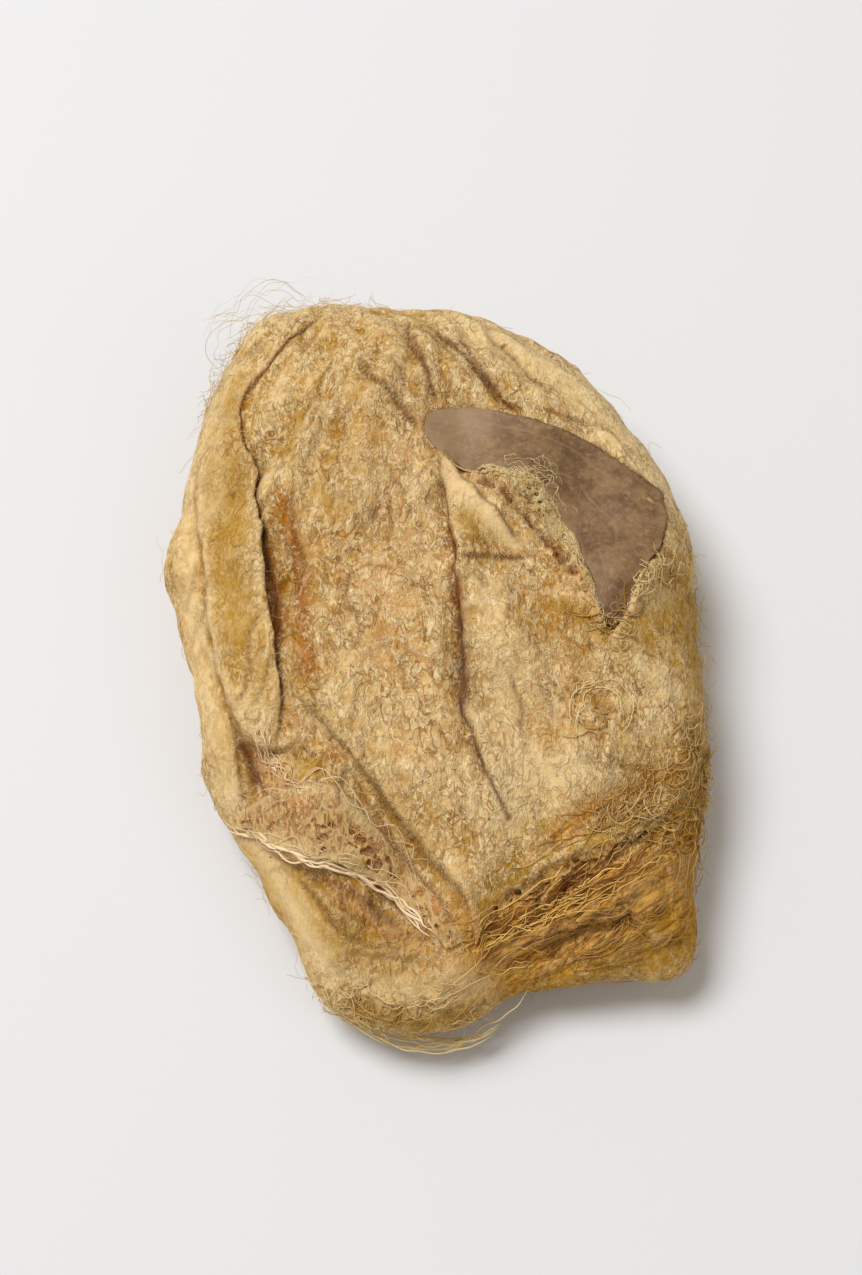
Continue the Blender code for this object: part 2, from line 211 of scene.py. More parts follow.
shell = {
    "length": 56.0 * mm, "width": 38.8 * mm,
    "crown": 7.4 * mm, "belly": 5.2 * mm,      # front above the rim, back below it
    "rimHeight": 5.1 * mm, "rimRise": 0.05, "rimShare": 0.5,
    "mouthThinning": 0.45,
    "frontRoundness": 3.6, "backRoundness": 2.6, "roundnessSwing": 1.0,
    "rimCalm": 14, "rimFlutes": 0.14 * mm, "flutes": ((23, 0.4), (38, 2.1)),
    "foldSoftness": 0.30 * mm, "foldEnds": 0.16,
    # where the foot line of painted shade and the crest of painted highlight lie across a fold, and how
    # wide they are
    "footLine": (-0.06 * mm, 0.18 * mm), "crestLine": (0.32 * mm, 0.26 * mm),
    "wobble": 0.28 * mm, "wobbleSize": 2.6 * mm,   # folds stray this much from their curves
    "cells": 270, "quickCells": 120,
    "restSpot": (7.0 * mm, 11.0 * mm), "spotEdge": 0.6,
    "backStart": 0.37,
    "pleatWander": 1.6 * mm, "wanderLength": 30.0 * mm,
    "fanCentre": inMm((-3.0, 38.0)), "fanSpacing": 0.16, "fanHeight": 0.20 * mm,
    # heading in degrees, spacing, height and start of each row of tent-shaped pleats
    "pleats": ((84.0, 13.0 * mm, 0.30 * mm, 0.10), (101.0, 8.6 * mm, 0.20 * mm, 0.62),
               (63.0, 11.5 * mm, 0.22 * mm, 0.35), (128.0, 7.4 * mm, 0.14 * mm, 0.80),
               (15.0, 10.0 * mm, 0.22 * mm, 0.22), (158.0, 6.2 * mm, 0.12 * mm, 0.47)),
    "outline": inMm((
        (19.0, 0.5), (18.9, 6.5), (17.3, 12.0), (13.6, 18.4), (9.4, 22.8), (4.0, 25.9),
        (-2.0, 27.0), (-8.0, 27.2), (-12.9, 26.2), (-15.7, 22.2), (-17.5, 16.5),
        (-18.6, 10.5), (-19.6, 5.5), (-18.3, 0.5), (-16.7, -5.5), (-15.8, -11.5),
        (-12.7, -16.5), (-9.6, -22.2), (-6.8, -26.8), (-2.4, -28.6), (2.2, -27.9),
        (5.6, -25.8), (11.8, -25.0), (16.4, -24.6), (17.9, -22.2), (18.1, -15.5),
        (19.2, -8.0))),
}


def fold(path, left, right, lean=0.0, line=0.0, crest=0.0):
    # path in mm; left and right: height and reach in mm on each hand of someone who walks it
    # lean pushes the left edge over, line paints shade along the fold's foot, crest paints a highlight
    # along its edge
    return {"path": inMm(path), "left": left, "right": right, "lean": lean * mm,
            "line": line, "crest": crest}


frontFolds = (
    # the doubled-over flap of the left side: its inner edge, its outer edge, its ridge
    fold(((-11.4, -10.2), (-10.8, -8.1), (-10.8, -6.1), (-11.1, -4.0), (-11.6, -0.2), (-12.1, 2.7),
          (-12.6, 6.1), (-13.2, 10.4), (-13.9, 14.4)), (0.8, 2.6), (-0.6, 1.0), lean=0.45, line=1.0,
         crest=0.6),
    fold(((-13.1, 9.8), (-13.7, 13.0), (-14.3, 15.8), (-13.3, 18.4), (-11.0, 22.0), (-8.1, 25.4)),
         (0.34, 2.2), (-0.2, 0.7), lean=0.15, line=1.0, crest=0.5),
    fold(((-17.0, 14.0), (-17.0, 7.8), (-16.5, 4.8), (-16.1, 1.3), (-15.6, -1.9), (-14.9, -4.7),
          (-13.8, -7.5), (-12.8, -9.1), (-11.4, -9.9), (-9.8, -9.6), (-8.4, -8.6)), (0.6, 1.4),
         (-0.5, 1.0), lean=0.35, line=0.5, crest=1.0),
    fold(((-10.8, -11.4), (-13.1, -8.8), (-15.0, -3.6), (-15.8, 2.6), (-16.4, 7.5), (-16.5, 12.6),
          (-15.2, 18.6)), (0.3, 1.3), (0.3, 2.0)),
    # the band below the flap's end, and the pocket beside it
    fold(((-14.9, -5.0), (-14.1, -7.6), (-13.5, -9.8), (-13.2, -12.0), (-12.8, -14.0)), (-0.5, 0.9),
         (0.3, 0.9), line=0.5, crest=0.3),
    # the groove that runs to the mouth
    fold(((-10.4, -5.4), (-9.1, -6.8), (-7.7, -8.4), (-6.0, -10.3), (-2.9, -14.2), (0.3, -18.1),
          (2.0, -21.4), (2.3, -24.6)), (0.45, 2.8), (-0.6, 1.4), lean=0.25, line=0.45, crest=0.5),
    # the torn front layer, the gully under it and the fibrous ribs of the lower lip
    fold(((2.3, -24.8), (3.5, -21.9), (4.9, -20.2), (6.7, -19.1), (8.5, -18.3), (10.2, -17.7),
          (11.9, -16.9), (14.4, -15.3), (18.6, -12.4)), (0.3, 2.5), (-0.35, 0.8), lean=0.3, line=0.6),
    fold(((2.3, -24.1), (4.4, -22.4), (6.5, -20.8), (8.6, -19.5), (10.4, -18.5), (11.9, -17.7),
          (13.8, -16.4)), (0.35, 0.4), (-0.35, 0.5), line=0.8, crest=0.8),
    fold(((2.6, -24.5), (5.5, -22.6), (7.8, -21.3), (10.1, -20.0), (11.9, -19.3), (13.4, -18.4)),
         (0.45, 0.5), (-0.35, 0.6), line=0.6, crest=1.0),
    fold(((3.4, -24.9), (5.7, -23.7), (8.3, -22.4), (10.6, -21.8), (12.2, -21.4)), (0.40, 0.5),
         (-0.35, 0.8), line=0.6, crest=0.9),
    # the long middle crease
    fold(((0.0, 13.0), (0.9, 7.7), (1.6, 2.6), (2.0, -2.1), (2.2, -5.4), (2.1, -8.4), (3.4, -11.6),
          (5.2, -15.8)), (0.6, 2.4), (-0.8, 1.0), lean=0.3, line=1.0, crest=0.6),
    fold(((0.4, 12.0), (2.2, 9.8), (3.4, 7.4), (4.8, 5.6), (6.4, 3.6)), (-0.3, 1.6), (0.45, 1.2),
         line=0.8, crest=0.2),
    fold(((1.6, 2.6), (4.1, 2.5), (6.9, 3.2)), (0.2, 0.9), (-0.3, 0.6), line=0.6),
    # creases that fan out from the far end
    fold(((-2.4, 24.6), (-0.9, 19.6), (0.2, 15.2)), (0.35, 1.8), (-0.4, 0.5), line=1.0, crest=0.5),
    fold(((-0.5, 24.4), (2.5, 19.2), (5.2, 16.0), (7.0, 14.2)), (0.40, 1.6), (-0.4, 0.5), line=1.0,
         crest=0.5),
    fold(((-5.8, 19.8), (-3.7, 16.4), (-0.8, 13.2)), (0.30, 1.4), (-0.3, 0.5), line=0.8, crest=0.5),
    # the trough by the flap, the thin crest beyond it and the ridge below
    fold(((-11.9, 8.8), (-10.2, 3.8), (-8.8, -1.8), (-7.2, -8.0)), (-0.6, 1.4), (-0.6, 1.4), line=0.3),
    fold(((-12.0, 5.9), (-11.1, 5.1), (-10.2, 3.4), (-9.3, 1.5), (-9.1, 0.2), (-9.3, -1.6)),
         (0.25, 0.5), (0.35, 0.5), line=0.4, crest=0.8),
    fold(((-10.6, -5.4), (-6.9, -10.0), (-4.6, -13.4)), (0.3, 0.8), (0.4, 1.2), crest=0.6),
    # the web's upper and lower edges
    fold(((-13.4, -14.4), (-10.8, -12.9), (-6.7, -13.4), (-3.8, -16.0), (-1.0, -18.9), (1.6, -23.2)),
         (-0.4, 1.0), (0.5, 1.0), line=0.5, crest=0.2),
    fold(((-13.2, -15.0), (-9.3, -17.6), (-4.3, -19.1), (-0.9, -22.0), (0.2, -24.4)), (0.6, 0.9),
         (-0.7, 1.3), line=0.7, crest=0.5),
    # the right-hand side and the lip of the mouth
    fold(((9.6, 16.8), (13.6, 12.9), (16.9, 6.8)), (-0.2, 1.2), (0.5, 1.6), line=0.2, crest=0.3),
    fold(((10.6, -2.4), (12.0, -7.4), (11.0, -13.4)), (0.35, 2.2), (-0.35, 1.8)),
    fold(((-7.8, -22.8), (-4.8, -25.2), (-0.6, -25.8), (3.0, -24.6)), (0.5, 1.2), (0.4, 0.9),
         crest=0.4),
    # small creases that are too fine for the solid
    fold(((-9.9, 11.2), (-10.0, 6.8), (-9.2, 2.6), (-9.4, -1.0)), (0.3, 1.1), (-0.2, 0.5), line=0.6,
         crest=0.4),
    fold(((6.7, 14.9), (11.6, 14.4), (16.2, 11.6)), (0.2, 1.0), (-0.25, 0.5), line=0.5, crest=0.3),
    fold(((1.4, 22.2), (1.9, 21.2), (3.1, 18.5), (4.3, 16.6), (5.5, 15.0)), (0.2, 0.7), (-0.3, 0.4),
         line=0.9, crest=0.3),
    fold(((-1.3, 23.5), (0.7, 21.4), (1.9, 18.5), (3.3, 17.3)), (0.15, 0.7), (-0.2, 0.4), line=0.6),
    fold(((10.6, 13.0), (11.5, 12.6), (13.8, 10.8), (16.0, 9.7), (17.4, 8.9)), (0.15, 0.7),
         (-0.25, 0.4), line=0.7, crest=0.4),
    # the frayed flap below the leaf's tip, and the crest that borders the tip
    fold(((18.4, 4.3), (15.9, 3.1), (14.5, 1.8), (13.9, -0.2), (12.9, -2.3), (11.6, -3.9)), (0.55, 1.8),
         (-0.35, 0.7), lean=0.3, line=0.6, crest=0.9),
    fold(((10.0, 4.3), (10.5, 1.3), (11.3, -0.9), (12.0, -2.5)), (0.2, 0.4), (0.25, 0.5), crest=0.9),
    fold(((-9.2, -18.5), (-7.3, -20.6), (-6.3, -23.0)), (0.2, 0.5), (-0.2, 0.5), line=0.7, crest=0.4),
    fold(((-6.5, -19.2), (-6.1, -21.2), (-6.0, -23.2)), (0.2, 0.5), (-0.2, 0.5), line=0.6, crest=0.4),
    fold(((3.4, 23.2), (6.9, 18.8), (8.9, 16.8)), (0.15, 0.9), (-0.25, 0.4), line=0.6),
    fold(((5.1, -8.6), (3.6, -13.2), (2.2, -18.8)), (0.25, 1.2), (-0.2, 0.6), line=0.3, crest=0.3),
    fold(((-6.6, 1.4), (-4.6, 2.2), (-2.0, 1.6)), (0.12, 0.6), (-0.15, 0.4), line=0.3),
    fold(((-0.6, -4.3), (0.9, -5.7), (2.3, -7.1)), (0.15, 0.7), (-0.15, 0.4), line=0.3),
    fold(((-4.9, -11.8), (-2.8, -14.4), (-0.6, -16.9), (1.6, -20.3)), (0.25, 0.7), (-0.35, 0.6),
         line=0.55, crest=0.3),
    fold(((-6.2, -11.2), (-4.0, -14.6), (-1.6, -17.6), (1.2, -21.8)), (0.2, 0.5), (-0.3, 0.5),
         line=0.45, crest=0.3),
    fold(((-12.4, -15.6), (-8.9, -20.1), (-6.3, -23.9)), (0.35, 1.0), (0.2, 0.8), crest=0.7),
    fold(((-7.2, 25.2), (-8.8, 22.4), (-9.8, 19.2)), (0.2, 0.8), (-0.25, 0.5), line=0.4, crest=0.3),
    fold(((7.4, -12.6), (11.5, -11.4), (15.8, -11.6)), (0.25, 1.0), (-0.25, 0.8), crest=0.3),
    fold(((11.6, -19.2), (12.5, -20.7), (13.9, -22.3), (15.6, -24.0)), (0.45, 1.0), (-0.5, 0.7),
         line=0.8, crest=0.4),
    fold(((8.2, -20.4), (9.1, -21.4), (10.2, -23.2), (10.8, -24.6)), (0.3, 0.9), (-0.35, 0.7), line=0.6,
         crest=0.4),
    fold(((3.4, -24.6), (6.4, -22.9), (9.0, -22.0)), (0.3, 0.7), (-0.3, 0.7), line=0.5, crest=0.4),
    fold(((15.2, -17.6), (16.0, -20.0), (15.9, -22.8)), (0.3, 1.1), (-0.3, 0.8), line=0.4, crest=0.3),
)
backFolds = (
    fold(((12.6, -20.5), (9.8, -14.0), (8.8, -6.0), (5.4, 2.0), (4.8, 11.0), (0.5, 23.5)), (0.9, 3.0),
         (-0.8, 1.4), lean=0.5, line=0.9, crest=0.4),
    fold(((-6.0, -22.5), (-9.5, -13.0), (-8.0, -3.0), (-10.5, 6.0), (-9.0, 15.0), (-5.5, 23.5)),
         (0.5, 2.6), (-0.8, 1.0), lean=0.2, line=0.8, crest=0.4),
    fold(((-17.0, 8.0), (-13.5, 2.5), (-12.8, -4.0), (-8.5, -9.5)), (-0.7, 1.4), (0.4, 2.2), line=0.5,
         crest=0.3),
    fold(((-12.0, -14.5), (-4.0, -17.5), (3.0, -15.5), (9.0, -19.5)), (0.4, 2.0), (-0.7, 1.0), line=0.6,
         crest=0.3),
    fold(((17.2, 9.0), (12.6, 3.0), (13.5, -6.5)), (-0.6, 1.2), (0.5, 1.6), line=0.4, crest=0.3),
)

# small creases scattered in fans: each fan's centre, headings in degrees, nearest and
# farthest start and shortest and longest crease in mm
creaseFans = {
    "face": {"centre": (-3.0, 38.0), "headings": (-112, -66), "starts": (14, 60),
             "lengths": (3.0, 9.0), "count": 64, "height": 0.20, "reach": 1.0, "line": 0.5},
    "crossing": {"centre": (-70.0, 4.0), "headings": (-22, 18), "starts": (54, 86),
                 "lengths": (1.6, 4.5), "count": 44, "height": 0.13, "reach": 0.7,
                 "line": 0.4},
    "far end": {"centre": (-2.4, 28.6), "headings": (-82, -28), "starts": (3, 9),
                "lengths": (4.0, 10.0), "count": 10, "height": 0.28, "reach": 0.9,
                "line": 0.75},
    "torn mouth": {"centre": (1.6, -24.9), "headings": (4, 43), "starts": (1.5, 9),
                   "lengths": (4.0, 11.0), "count": 46, "height": 0.50, "reach": 0.45,
                   "line": 0.9},
    "lip": {"centre": (1.2, -24.2), "headings": (118, 196), "starts": (1.5, 7),
            "lengths": (3.0, 7.0), "count": 22, "height": 0.26, "reach": 0.6, "line": 0.6},
}


def scatterCreases(seed):
    rng = np.random.default_rng(seed)
    found = []
    for fan in creaseFans.values():
        for _ in range(fan["count"]):
            heading = np.radians(rng.uniform(*fan["headings"]))
            first, length = rng.uniform(*fan["starts"]), rng.uniform(*fan["lengths"])
            way = np.array([np.cos(heading), np.sin(heading)])
            side = np.array([-way[1], way[0]])
            bends = rng.normal(0, 0.07 * length, 4)
            path = [fan["centre"] + way * (first + length * k / 3) + side * bends[k]
                    for k in range(4)]
            size = fan["height"] * rng.uniform(0.4, 1.2)
            left, right = size * rng.uniform(0.2, 1.0), -size * rng.uniform(0.2, 1.0)
            if rng.uniform() < 0.4:
                left, right = right, left
            reach = fan["reach"] * rng.uniform(0.7, 1.5)
            found.append(fold(path, (left, reach), (right, reach * 0.7),
                              line=fan["line"] * rng.uniform(0.1, 1.0) ** 0.7,
                              crest=rng.uniform(0.1, 0.7)))
    return tuple(found)


frontFolds += scatterCreases(29)
# gaps between the threads of the net beside the leaf: small dents, their feet painted dark as shade
netGaps = (((3.3, 8.9), (4.3, 8.2)), ((4.7, 7.9), (5.6, 7.0)), ((6.5, 6.2), (7.4, 5.1)),
           ((7.7, 4.8), (8.4, 3.9)), ((8.6, 3.7), (9.3, 2.8)), ((9.5, 2.5), (10.0, 1.7)),
           ((6.9, 8.2), (8.0, 7.3)))
frontFolds += tuple(fold(gap, (-0.35, 0.28), (-0.35, 0.28), line=1.0) for gap in netGaps)
backFolds += scatterCreases(31)

# stains, pale places and painted shade, as soft strokes: path in mm, reach in mm and strength
frontStrokes = {
    "pale": (
        (((-15.0, 21.0), (-17.2, 14.0), (-18.0, 8.3), (-17.6, 2.0), (-16.6, -3.0), (-15.4, -7.0),
          (-14.9, -11.4)), 0.9, 0.6),
        (((-12.8, -7.4), (-11.4, -8.6)), 0.8, 0.8),
        (((-15.9, 14.0), (-15.6, 8.0)), 0.8, 0.5),
        (((1.2, 9.9), (2.4, 7.6), (4.0, 5.5), (5.6, 3.7)), 0.75, 0.95),
        (((-13.0, 24.8), (-10.5, 26.6), (-6.0, 26.9)), 1.6, 0.9),
        (((2.5, 23.8), (8.0, 20.4), (13.6, 14.6), (16.6, 10.4)), 2.6, 0.9),
        (((4.6, -14.6), (5.5, -12.4), (8.0, -12.8), (10.4, -12.2)), 1.9, 1.0),
        (((11.6, -4.6), (13.4, -6.0), (15.4, -7.6)), 1.2, 0.6),
        (((-1.6, -8.0), (0.2, -10.5), (1.8, -14.0)), 1.3, 0.5),
        (((14.2, -4.8), (15.2, -5.6), (16.3, -6.3)), 1.0, 0.9),
        (((14.6, -0.2), (16.4, 1.2)), 0.9, 0.6),
        (((3.6, 0.6), (4.2, -4.0), (4.6, -8.5), (6.0, -12.5)), 1.3, 0.55),
        (((-5.2, -25.4), (-2.9, -26.6), (0.3, -26.4), (3.4, -25.4)), 0.9, 0.75),
        (((-14.0, -12.5), (-11.2, -17.3), (-8.6, -22.4), (-6.6, -25.4)), 0.8, 0.9),
        (((-6.0, -3.0), (-4.5, -10.0), (-1.0, -13.0)), 2.0, 0.35),
        (((-12.6, -14.4), (-8.5, -15.6), (-4.0, -17.2), (-0.6, -20.6)), 1.2, 0.4),
        (((-2.2, 12.6), (-1.6, 8.0), (-1.0, 3.0)), 1.4, 0.3),
    ),
    "ochre": (
        # this first one follows the trough beside the flap: gum, and painted shade in the trough
        (((-11.6, 5.6), (-10.9, 2.2), (-9.9, -2.8), (-8.9, -6.2)), 0.7, 1.0),
        (((-10.5, 6.8), (-9.8, 4.8), (-8.8, 2.3), (-8.5, 0.3)), 0.6, 0.95),
        (((-15.0, 10.4), (-14.6, 6.4), (-14.3, 4.4)), 1.5, 0.82),
        (((-14.2, 3.0), (-14.0, 1.0), (-13.0, -2.8)), 1.5, 0.80),
        (((-15.2, 18.0), (-14.8, 10.0)), 1.6, 0.75),
        (((-12.6, -3.4), (-12.2, -6.4)), 1.0, 0.4),
        (((8.0, -16.7), (10.6, -14.6), (13.2, -12.9), (15.9, -11.6)), 1.1, 0.5),
        (((13.0, -1.0), (15.0, -1.2), (17.2, 0.4)), 1.5, 0.8),
        (((10.6, -4.0), (13.6, -5.2)), 1.4, 0.5),
        (((7.6, -2.2), (10.4, -3.2), (13.6, -4.2)), 1.5, 0.5),
        (((-10.4, -17.8), (-8.0, -20.4), (-5.4, -22.6), (-2.6, -24.0)), 1.8, 1.0),
        (((8.9, -0.6), (11.0, -1.6), (12.8, -3.4), (14.6, -3.6)), 0.8, 0.95),
        (((-5.8, -20.2), (-4.2, -21.6), (-2.2, -23.7), (-4.7, -24.4)), 1.4, 0.9),
        (((-9.2, -10.6), (-7.6, -12.0)), 1.0, 0.8),
        (((4.0, -23.2), (8.5, -21.4), (13.0, -19.6), (16.6, -17.2)), 3.0, 1.0),
        (((6.0, -25.0), (11.0, -23.6), (16.6, -21.8)), 2.6, 1.0),
        (((10.5, -6.9), (11.7, -8.1), (9.8, -10.8), (8.0, -10.7)), 0.7, 0.6),
        (((2.2, 6.0), (2.9, 4.5), (4.2, 3.4)), 0.65, 1.0),
        (((-8.0, -7.6), (-5.0, -11.6), (-2.2, -15.4), (1.4, -20.6)), 0.8, 0.8),
        (((-6.0, 18.0), (-5.0, 13.5), (-6.5, 9.0), (-3.0, 6.0)), 2.4, 0.35),
        (((-9.4, 14.0), (-8.6, 8.0)), 2.0, 0.4),
        (((17.5, -13.0), (17.6, -15.0), (17.2, -19.0)), 1.6, 0.8),
        (((18.4, 2.0), (18.6, -5.0), (18.2, -11.0)), 1.4, 0.7),
        (((-11.4, -16.8), (-8.2, -20.0), (-4.0, -22.6), (-1.5, -23.4)), 1.5, 0.9),
        (((-4.9, -26.9), (-2.7, -27.8), (-0.6, -28.1), (1.6, -27.5)), 0.6, 0.9),
        (((11.0, 1.5), (12.6, -2.2), (15.0, -1.6)), 1.2, 0.7),
        (((-13.4, -8.0), (-12.0, -11.5)), 1.4, 0.7),
        (((-1.2, 25.2), (0.4, 21.4)), 1.0, 0.5),
        (((16.6, 3.4), (17.4, -3.0)), 1.3, 0.5),
    ),
    "umber": (
        # umber: painted shade in the creases, under the flap's edge, in the pocket beside its end, in
        # the gully under the torn layer and in the net's gaps; a few are dark specks
        (((2.6, -23.6), (4.4, -21.6)), 0.3, 0.85),
        (((1.8, 1.0), (2.1, -3.2), (2.3, -5.8), (2.1, -8.4)), 0.40, 1.0),
        (((3.0, -10.8), (4.0, -13.2), (5.0, -15.4)), 0.22, 0.9),
        (((-1.5, 21.6), (-0.7, 19.2), (0.0, 16.4)), 0.19, 0.9),
        (((0.9, 21.8), (2.7, 18.9), (4.6, 16.5)), 0.19, 0.9),
        (((-5.4, 19.2), (-4.2, 17.2), (-2.8, 15.8), (-1.6, 14.2)), 0.15, 0.8),
        (((2.2, 21.0), (3.2, 18.8), (4.2, 17.2)), 0.13, 0.7),
        (((-5.6, 2.0), (-4.6, 2.2), (-3.4, 2.0)), 0.12, 0.7),
        (((11.5, 12.6), (13.8, 10.8), (15.6, 9.9)), 0.14, 0.8),
        (((2.4, 2.5), (4.1, 2.5), (6.0, 2.9)), 0.14, 0.7),
        (((-12.1, 5.9), (-11.6, 3.2), (-11.1, 0.8), (-10.7, -2.2)), 0.42, 1.0),
        (((-13.2, -9.6), (-12.6, -10.6), (-12.2, -12.0)), 0.55, 1.0),
        (((-8.9, -10.2), (-8.5, -10.6)), 0.16, 0.9), (((-8.2, -10.8), (-8.0, -11.0)), 0.14, 0.8),
        (((-7.9, -12.8), (-7.6, -13.0)), 0.14, 0.8), (((-6.8, -12.0), (-6.6, -12.2)), 0.12, 0.8),
        (((-12.3, 15.6), (-12.2, 15.5)), 0.14, 0.8), (((-11.0, 13.0), (-10.9, 12.9)), 0.16, 0.8),
        (((-9.4, 11.2), (-9.3, 11.1)), 0.13, 0.8), (((-14.7, 9.1), (-14.6, 9.0)), 0.12, 0.7),
        (((-13.7, 8.2), (-13.6, 8.1)), 0.14, 0.7), (((-13.9, 4.1), (-13.8, 4.0)), 0.11, 0.7),
        (((3.5, 8.7), (4.2, 8.2)), 0.24, 1.0), (((4.9, 7.7), (5.5, 7.1)), 0.30, 1.0),
        (((6.7, 6.0), (7.3, 5.2)), 0.26, 1.0), (((7.9, 4.6), (8.3, 4.0)), 0.30, 1.0),
        (((8.7, 3.6), (9.2, 2.9)), 0.28, 1.0), (((9.6, 2.3), (9.9, 1.8)), 0.24, 1.0),
        (((7.1, 8.1), (7.9, 7.4)), 0.26, 1.0), (((5.8, 6.7), (6.1, 6.4)), 0.20, 0.8),
        (((4.9, -20.4), (6.7, -19.4), (7.6, -19.0)), 0.3, 0.9),
        (((8.9, -18.6), (10.2, -18.1), (11.9, -17.4)), 0.35, 0.9),
        (((-8.4, -18.6), (-5.4, -20.0), (-2.6, -22.0)), 0.35, 0.7),
        (((-7.6, -15.4), (-4.8, -16.8), (-2.4, -19.4)), 0.5, 0.55),
        (((5.1, 21.2), (5.2, 21.3)), 0.22, 1.0),
        (((-4.5, 6.3), (-4.1, 6.7)), 0.22, 0.9),
    ),
    "rosy": (
        (((-11.0, -14.4), (-7.0, -15.4), (-3.0, -18.2), (0.2, -22.0)), 1.3, 0.9),
        (((-3.0, 12.0), (-3.0, 2.0), (-2.0, -8.0)), 5.0, 0.35),
        (((8.0, -1.0), (9.0, -9.0)), 4.0, 0.3),
        (((-0.4, -24.4), (1.6, -25.0)), 0.9, 0.8),
    ),
    "amber": (
        (((3.0, -23.6), (5.1, -21.2), (7.2, -19.9), (9.4, -19.0), (12.0, -18.0)), 0.6, 1.0),
        (((8.6, -19.6), (11.0, -19.0), (13.4, -18.6)), 0.6, 0.8),
        (((5.4, -22.0), (8.4, -20.8), (11.2, -20.4)), 0.35, 0.6),
        (((8.0, -22.0), (9.6, -23.0), (10.8, -23.8)), 0.35, 0.6),
        (((-13.0, -9.9), (-12.3, -10.8), (-11.6, -12.6)), 0.6, 0.8),
        (((-11.4, -14.2), (-8.4, -15.2), (-4.6, -17.0), (-1.6, -19.8), (0.4, -22.4)), 1.2, 0.85),
        (((-7.6, -18.8), (-5.6, -20.6), (-3.4, -22.6)), 0.6, 0.4),
        (((4.6, -21.8), (9.0, -20.8), (13.6, -19.4), (17.0, -16.6)), 2.4, 0.15),
        (((16.8, -12.0), (17.4, -16.0), (17.2, -20.0)), 1.5, 0.15),
        (((9.0, -15.8), (12.4, -13.6), (15.6, -12.0)), 0.7, 0.35),
        (((4.4, 3.0), (6.6, 3.2)), 0.5, 0.4),
        # these two lie under the flap's edge and in the trough beside it: painted shade, as well as gum
        (((-11.7, 3.6), (-11.2, 1.0), (-10.7, -3.0)), 0.5, 1.0),
        (((-10.8, 7.4), (-10.0, 4.8), (-9.2, 1.8), (-9.0, -1.4), (-8.7, -5.2)), 0.75, 0.9),
        (((-10.2, -7.4), (-8.4, -9.6), (-6.4, -11.4)), 0.5, 0.5),
        (((1.4, 4.6), (1.6, 1.0), (1.9, -2.0)), 0.5, 0.6),
        (((-10.6, 22.4), (-13.2, 18.2), (-14.0, 15.4)), 0.35, 0.6),
    ),
    "smooth": (
        (((-15.2, 19.0), (-16.0, 14.0), (-15.6, 8.0), (-15.0, 2.0), (-13.6, -3.0), (-12.0, -7.0)),
         2.0, 0.5),
        (((-17.6, 8.3), (-17.4, 2.0), (-16.2, -3.0), (-15.0, -8.0)), 1.2, 0.8),
        (((4.0, -1.0), (5.2, -6.0), (6.4, -11.0)), 1.8, 0.35),
        (((6.2, -12.6), (9.8, -12.5)), 1.6, 0.35),
        (((1.2, 9.9), (2.4, 7.6), (4.0, 5.5), (5.6, 3.7)), 0.8, 0.8),
        (((-4.2, -25.9), (-1.0, -26.2), (2.6, -25.4)), 0.9, 0.7),
        (((-12.6, -15.6), (-10.2, -19.4), (-7.4, -23.6)), 1.4, 0.9),
        (((-14.6, -9.0), (-14.0, -12.6)), 1.0, 0.8),
        (((4.0, -23.6), (9.0, -21.8), (15.0, -19.6)), 2.0, 0.7),
        (((12.4, -22.6), (15.8, -22.6)), 1.6, 0.6),
        (((4.0, 22.0), (9.0, 18.6), (13.6, 13.8)), 1.6, 0.5),
    ),
    "net": (
        (((-11.8, -10.6), (-10.8, -12.4)), 0.6, 0.7),
        (((-6.4, -19.8), (-4.2, -21.4), (-1.4, -23.4)), 0.9, 0.35),
        (((2.4, 10.0), (5.4, 8.0), (8.0, 5.4), (9.8, 2.6), (11.2, -1.4)), 0.9, 0.4),
        (((-7.2, 25.0), (-9.6, 20.0)), 0.5, 0.5),
    ),
    "fray": (
        (((3.2, -23.6), (6.6, -21.4), (9.6, -19.8), (13.0, -17.6), (16.4, -15.4)), 1.9, 0.9),
        (((6.5, -18.0), (9.4, -16.0), (12.4, -14.2), (15.6, -12.2)), 0.8, 0.6),
        (((5.0, -24.4), (8.0, -23.2), (12.0, -22.0), (16.4, -20.4)), 1.8, 0.7),
    ),
    "curls": (
        (((12.4, -15.4), (14.6, -14.0), (17.0, -12.8)), 1.3, 1.0),
        (((17.6, -9.0), (18.0, -12.0), (17.4, -16.0)), 1.2, 0.8),
        (((11.3, -0.4), (12.4, -1.6)), 0.6, 1.0),
        (((12.6, -2.6), (14.0, -0.4), (15.4, 2.2), (17.8, 3.6)), 0.7, 0.6),
        (((9.6, -7.2), (10.9, -7.4), (11.0, -9.6), (9.4, -10.4)), 0.6, 0.35),
        (((-6.8, -25.6), (-3.0, -27.4), (1.4, -27.2)), 0.8, 0.6),
    ),
    "fuzz": (
        (((-16.4, 19.0), (-13.4, 25.0), (-7.0, 27.4)), 2.2, 1.0),
        (((18.6, 4.0), (18.4, -4.0), (18.6, -16.0)), 1.6, 0.3),
        (((-8.0, -25.0), (-2.5, -28.4), (4.0, -26.8)), 1.6, 0.5),
    ),
}
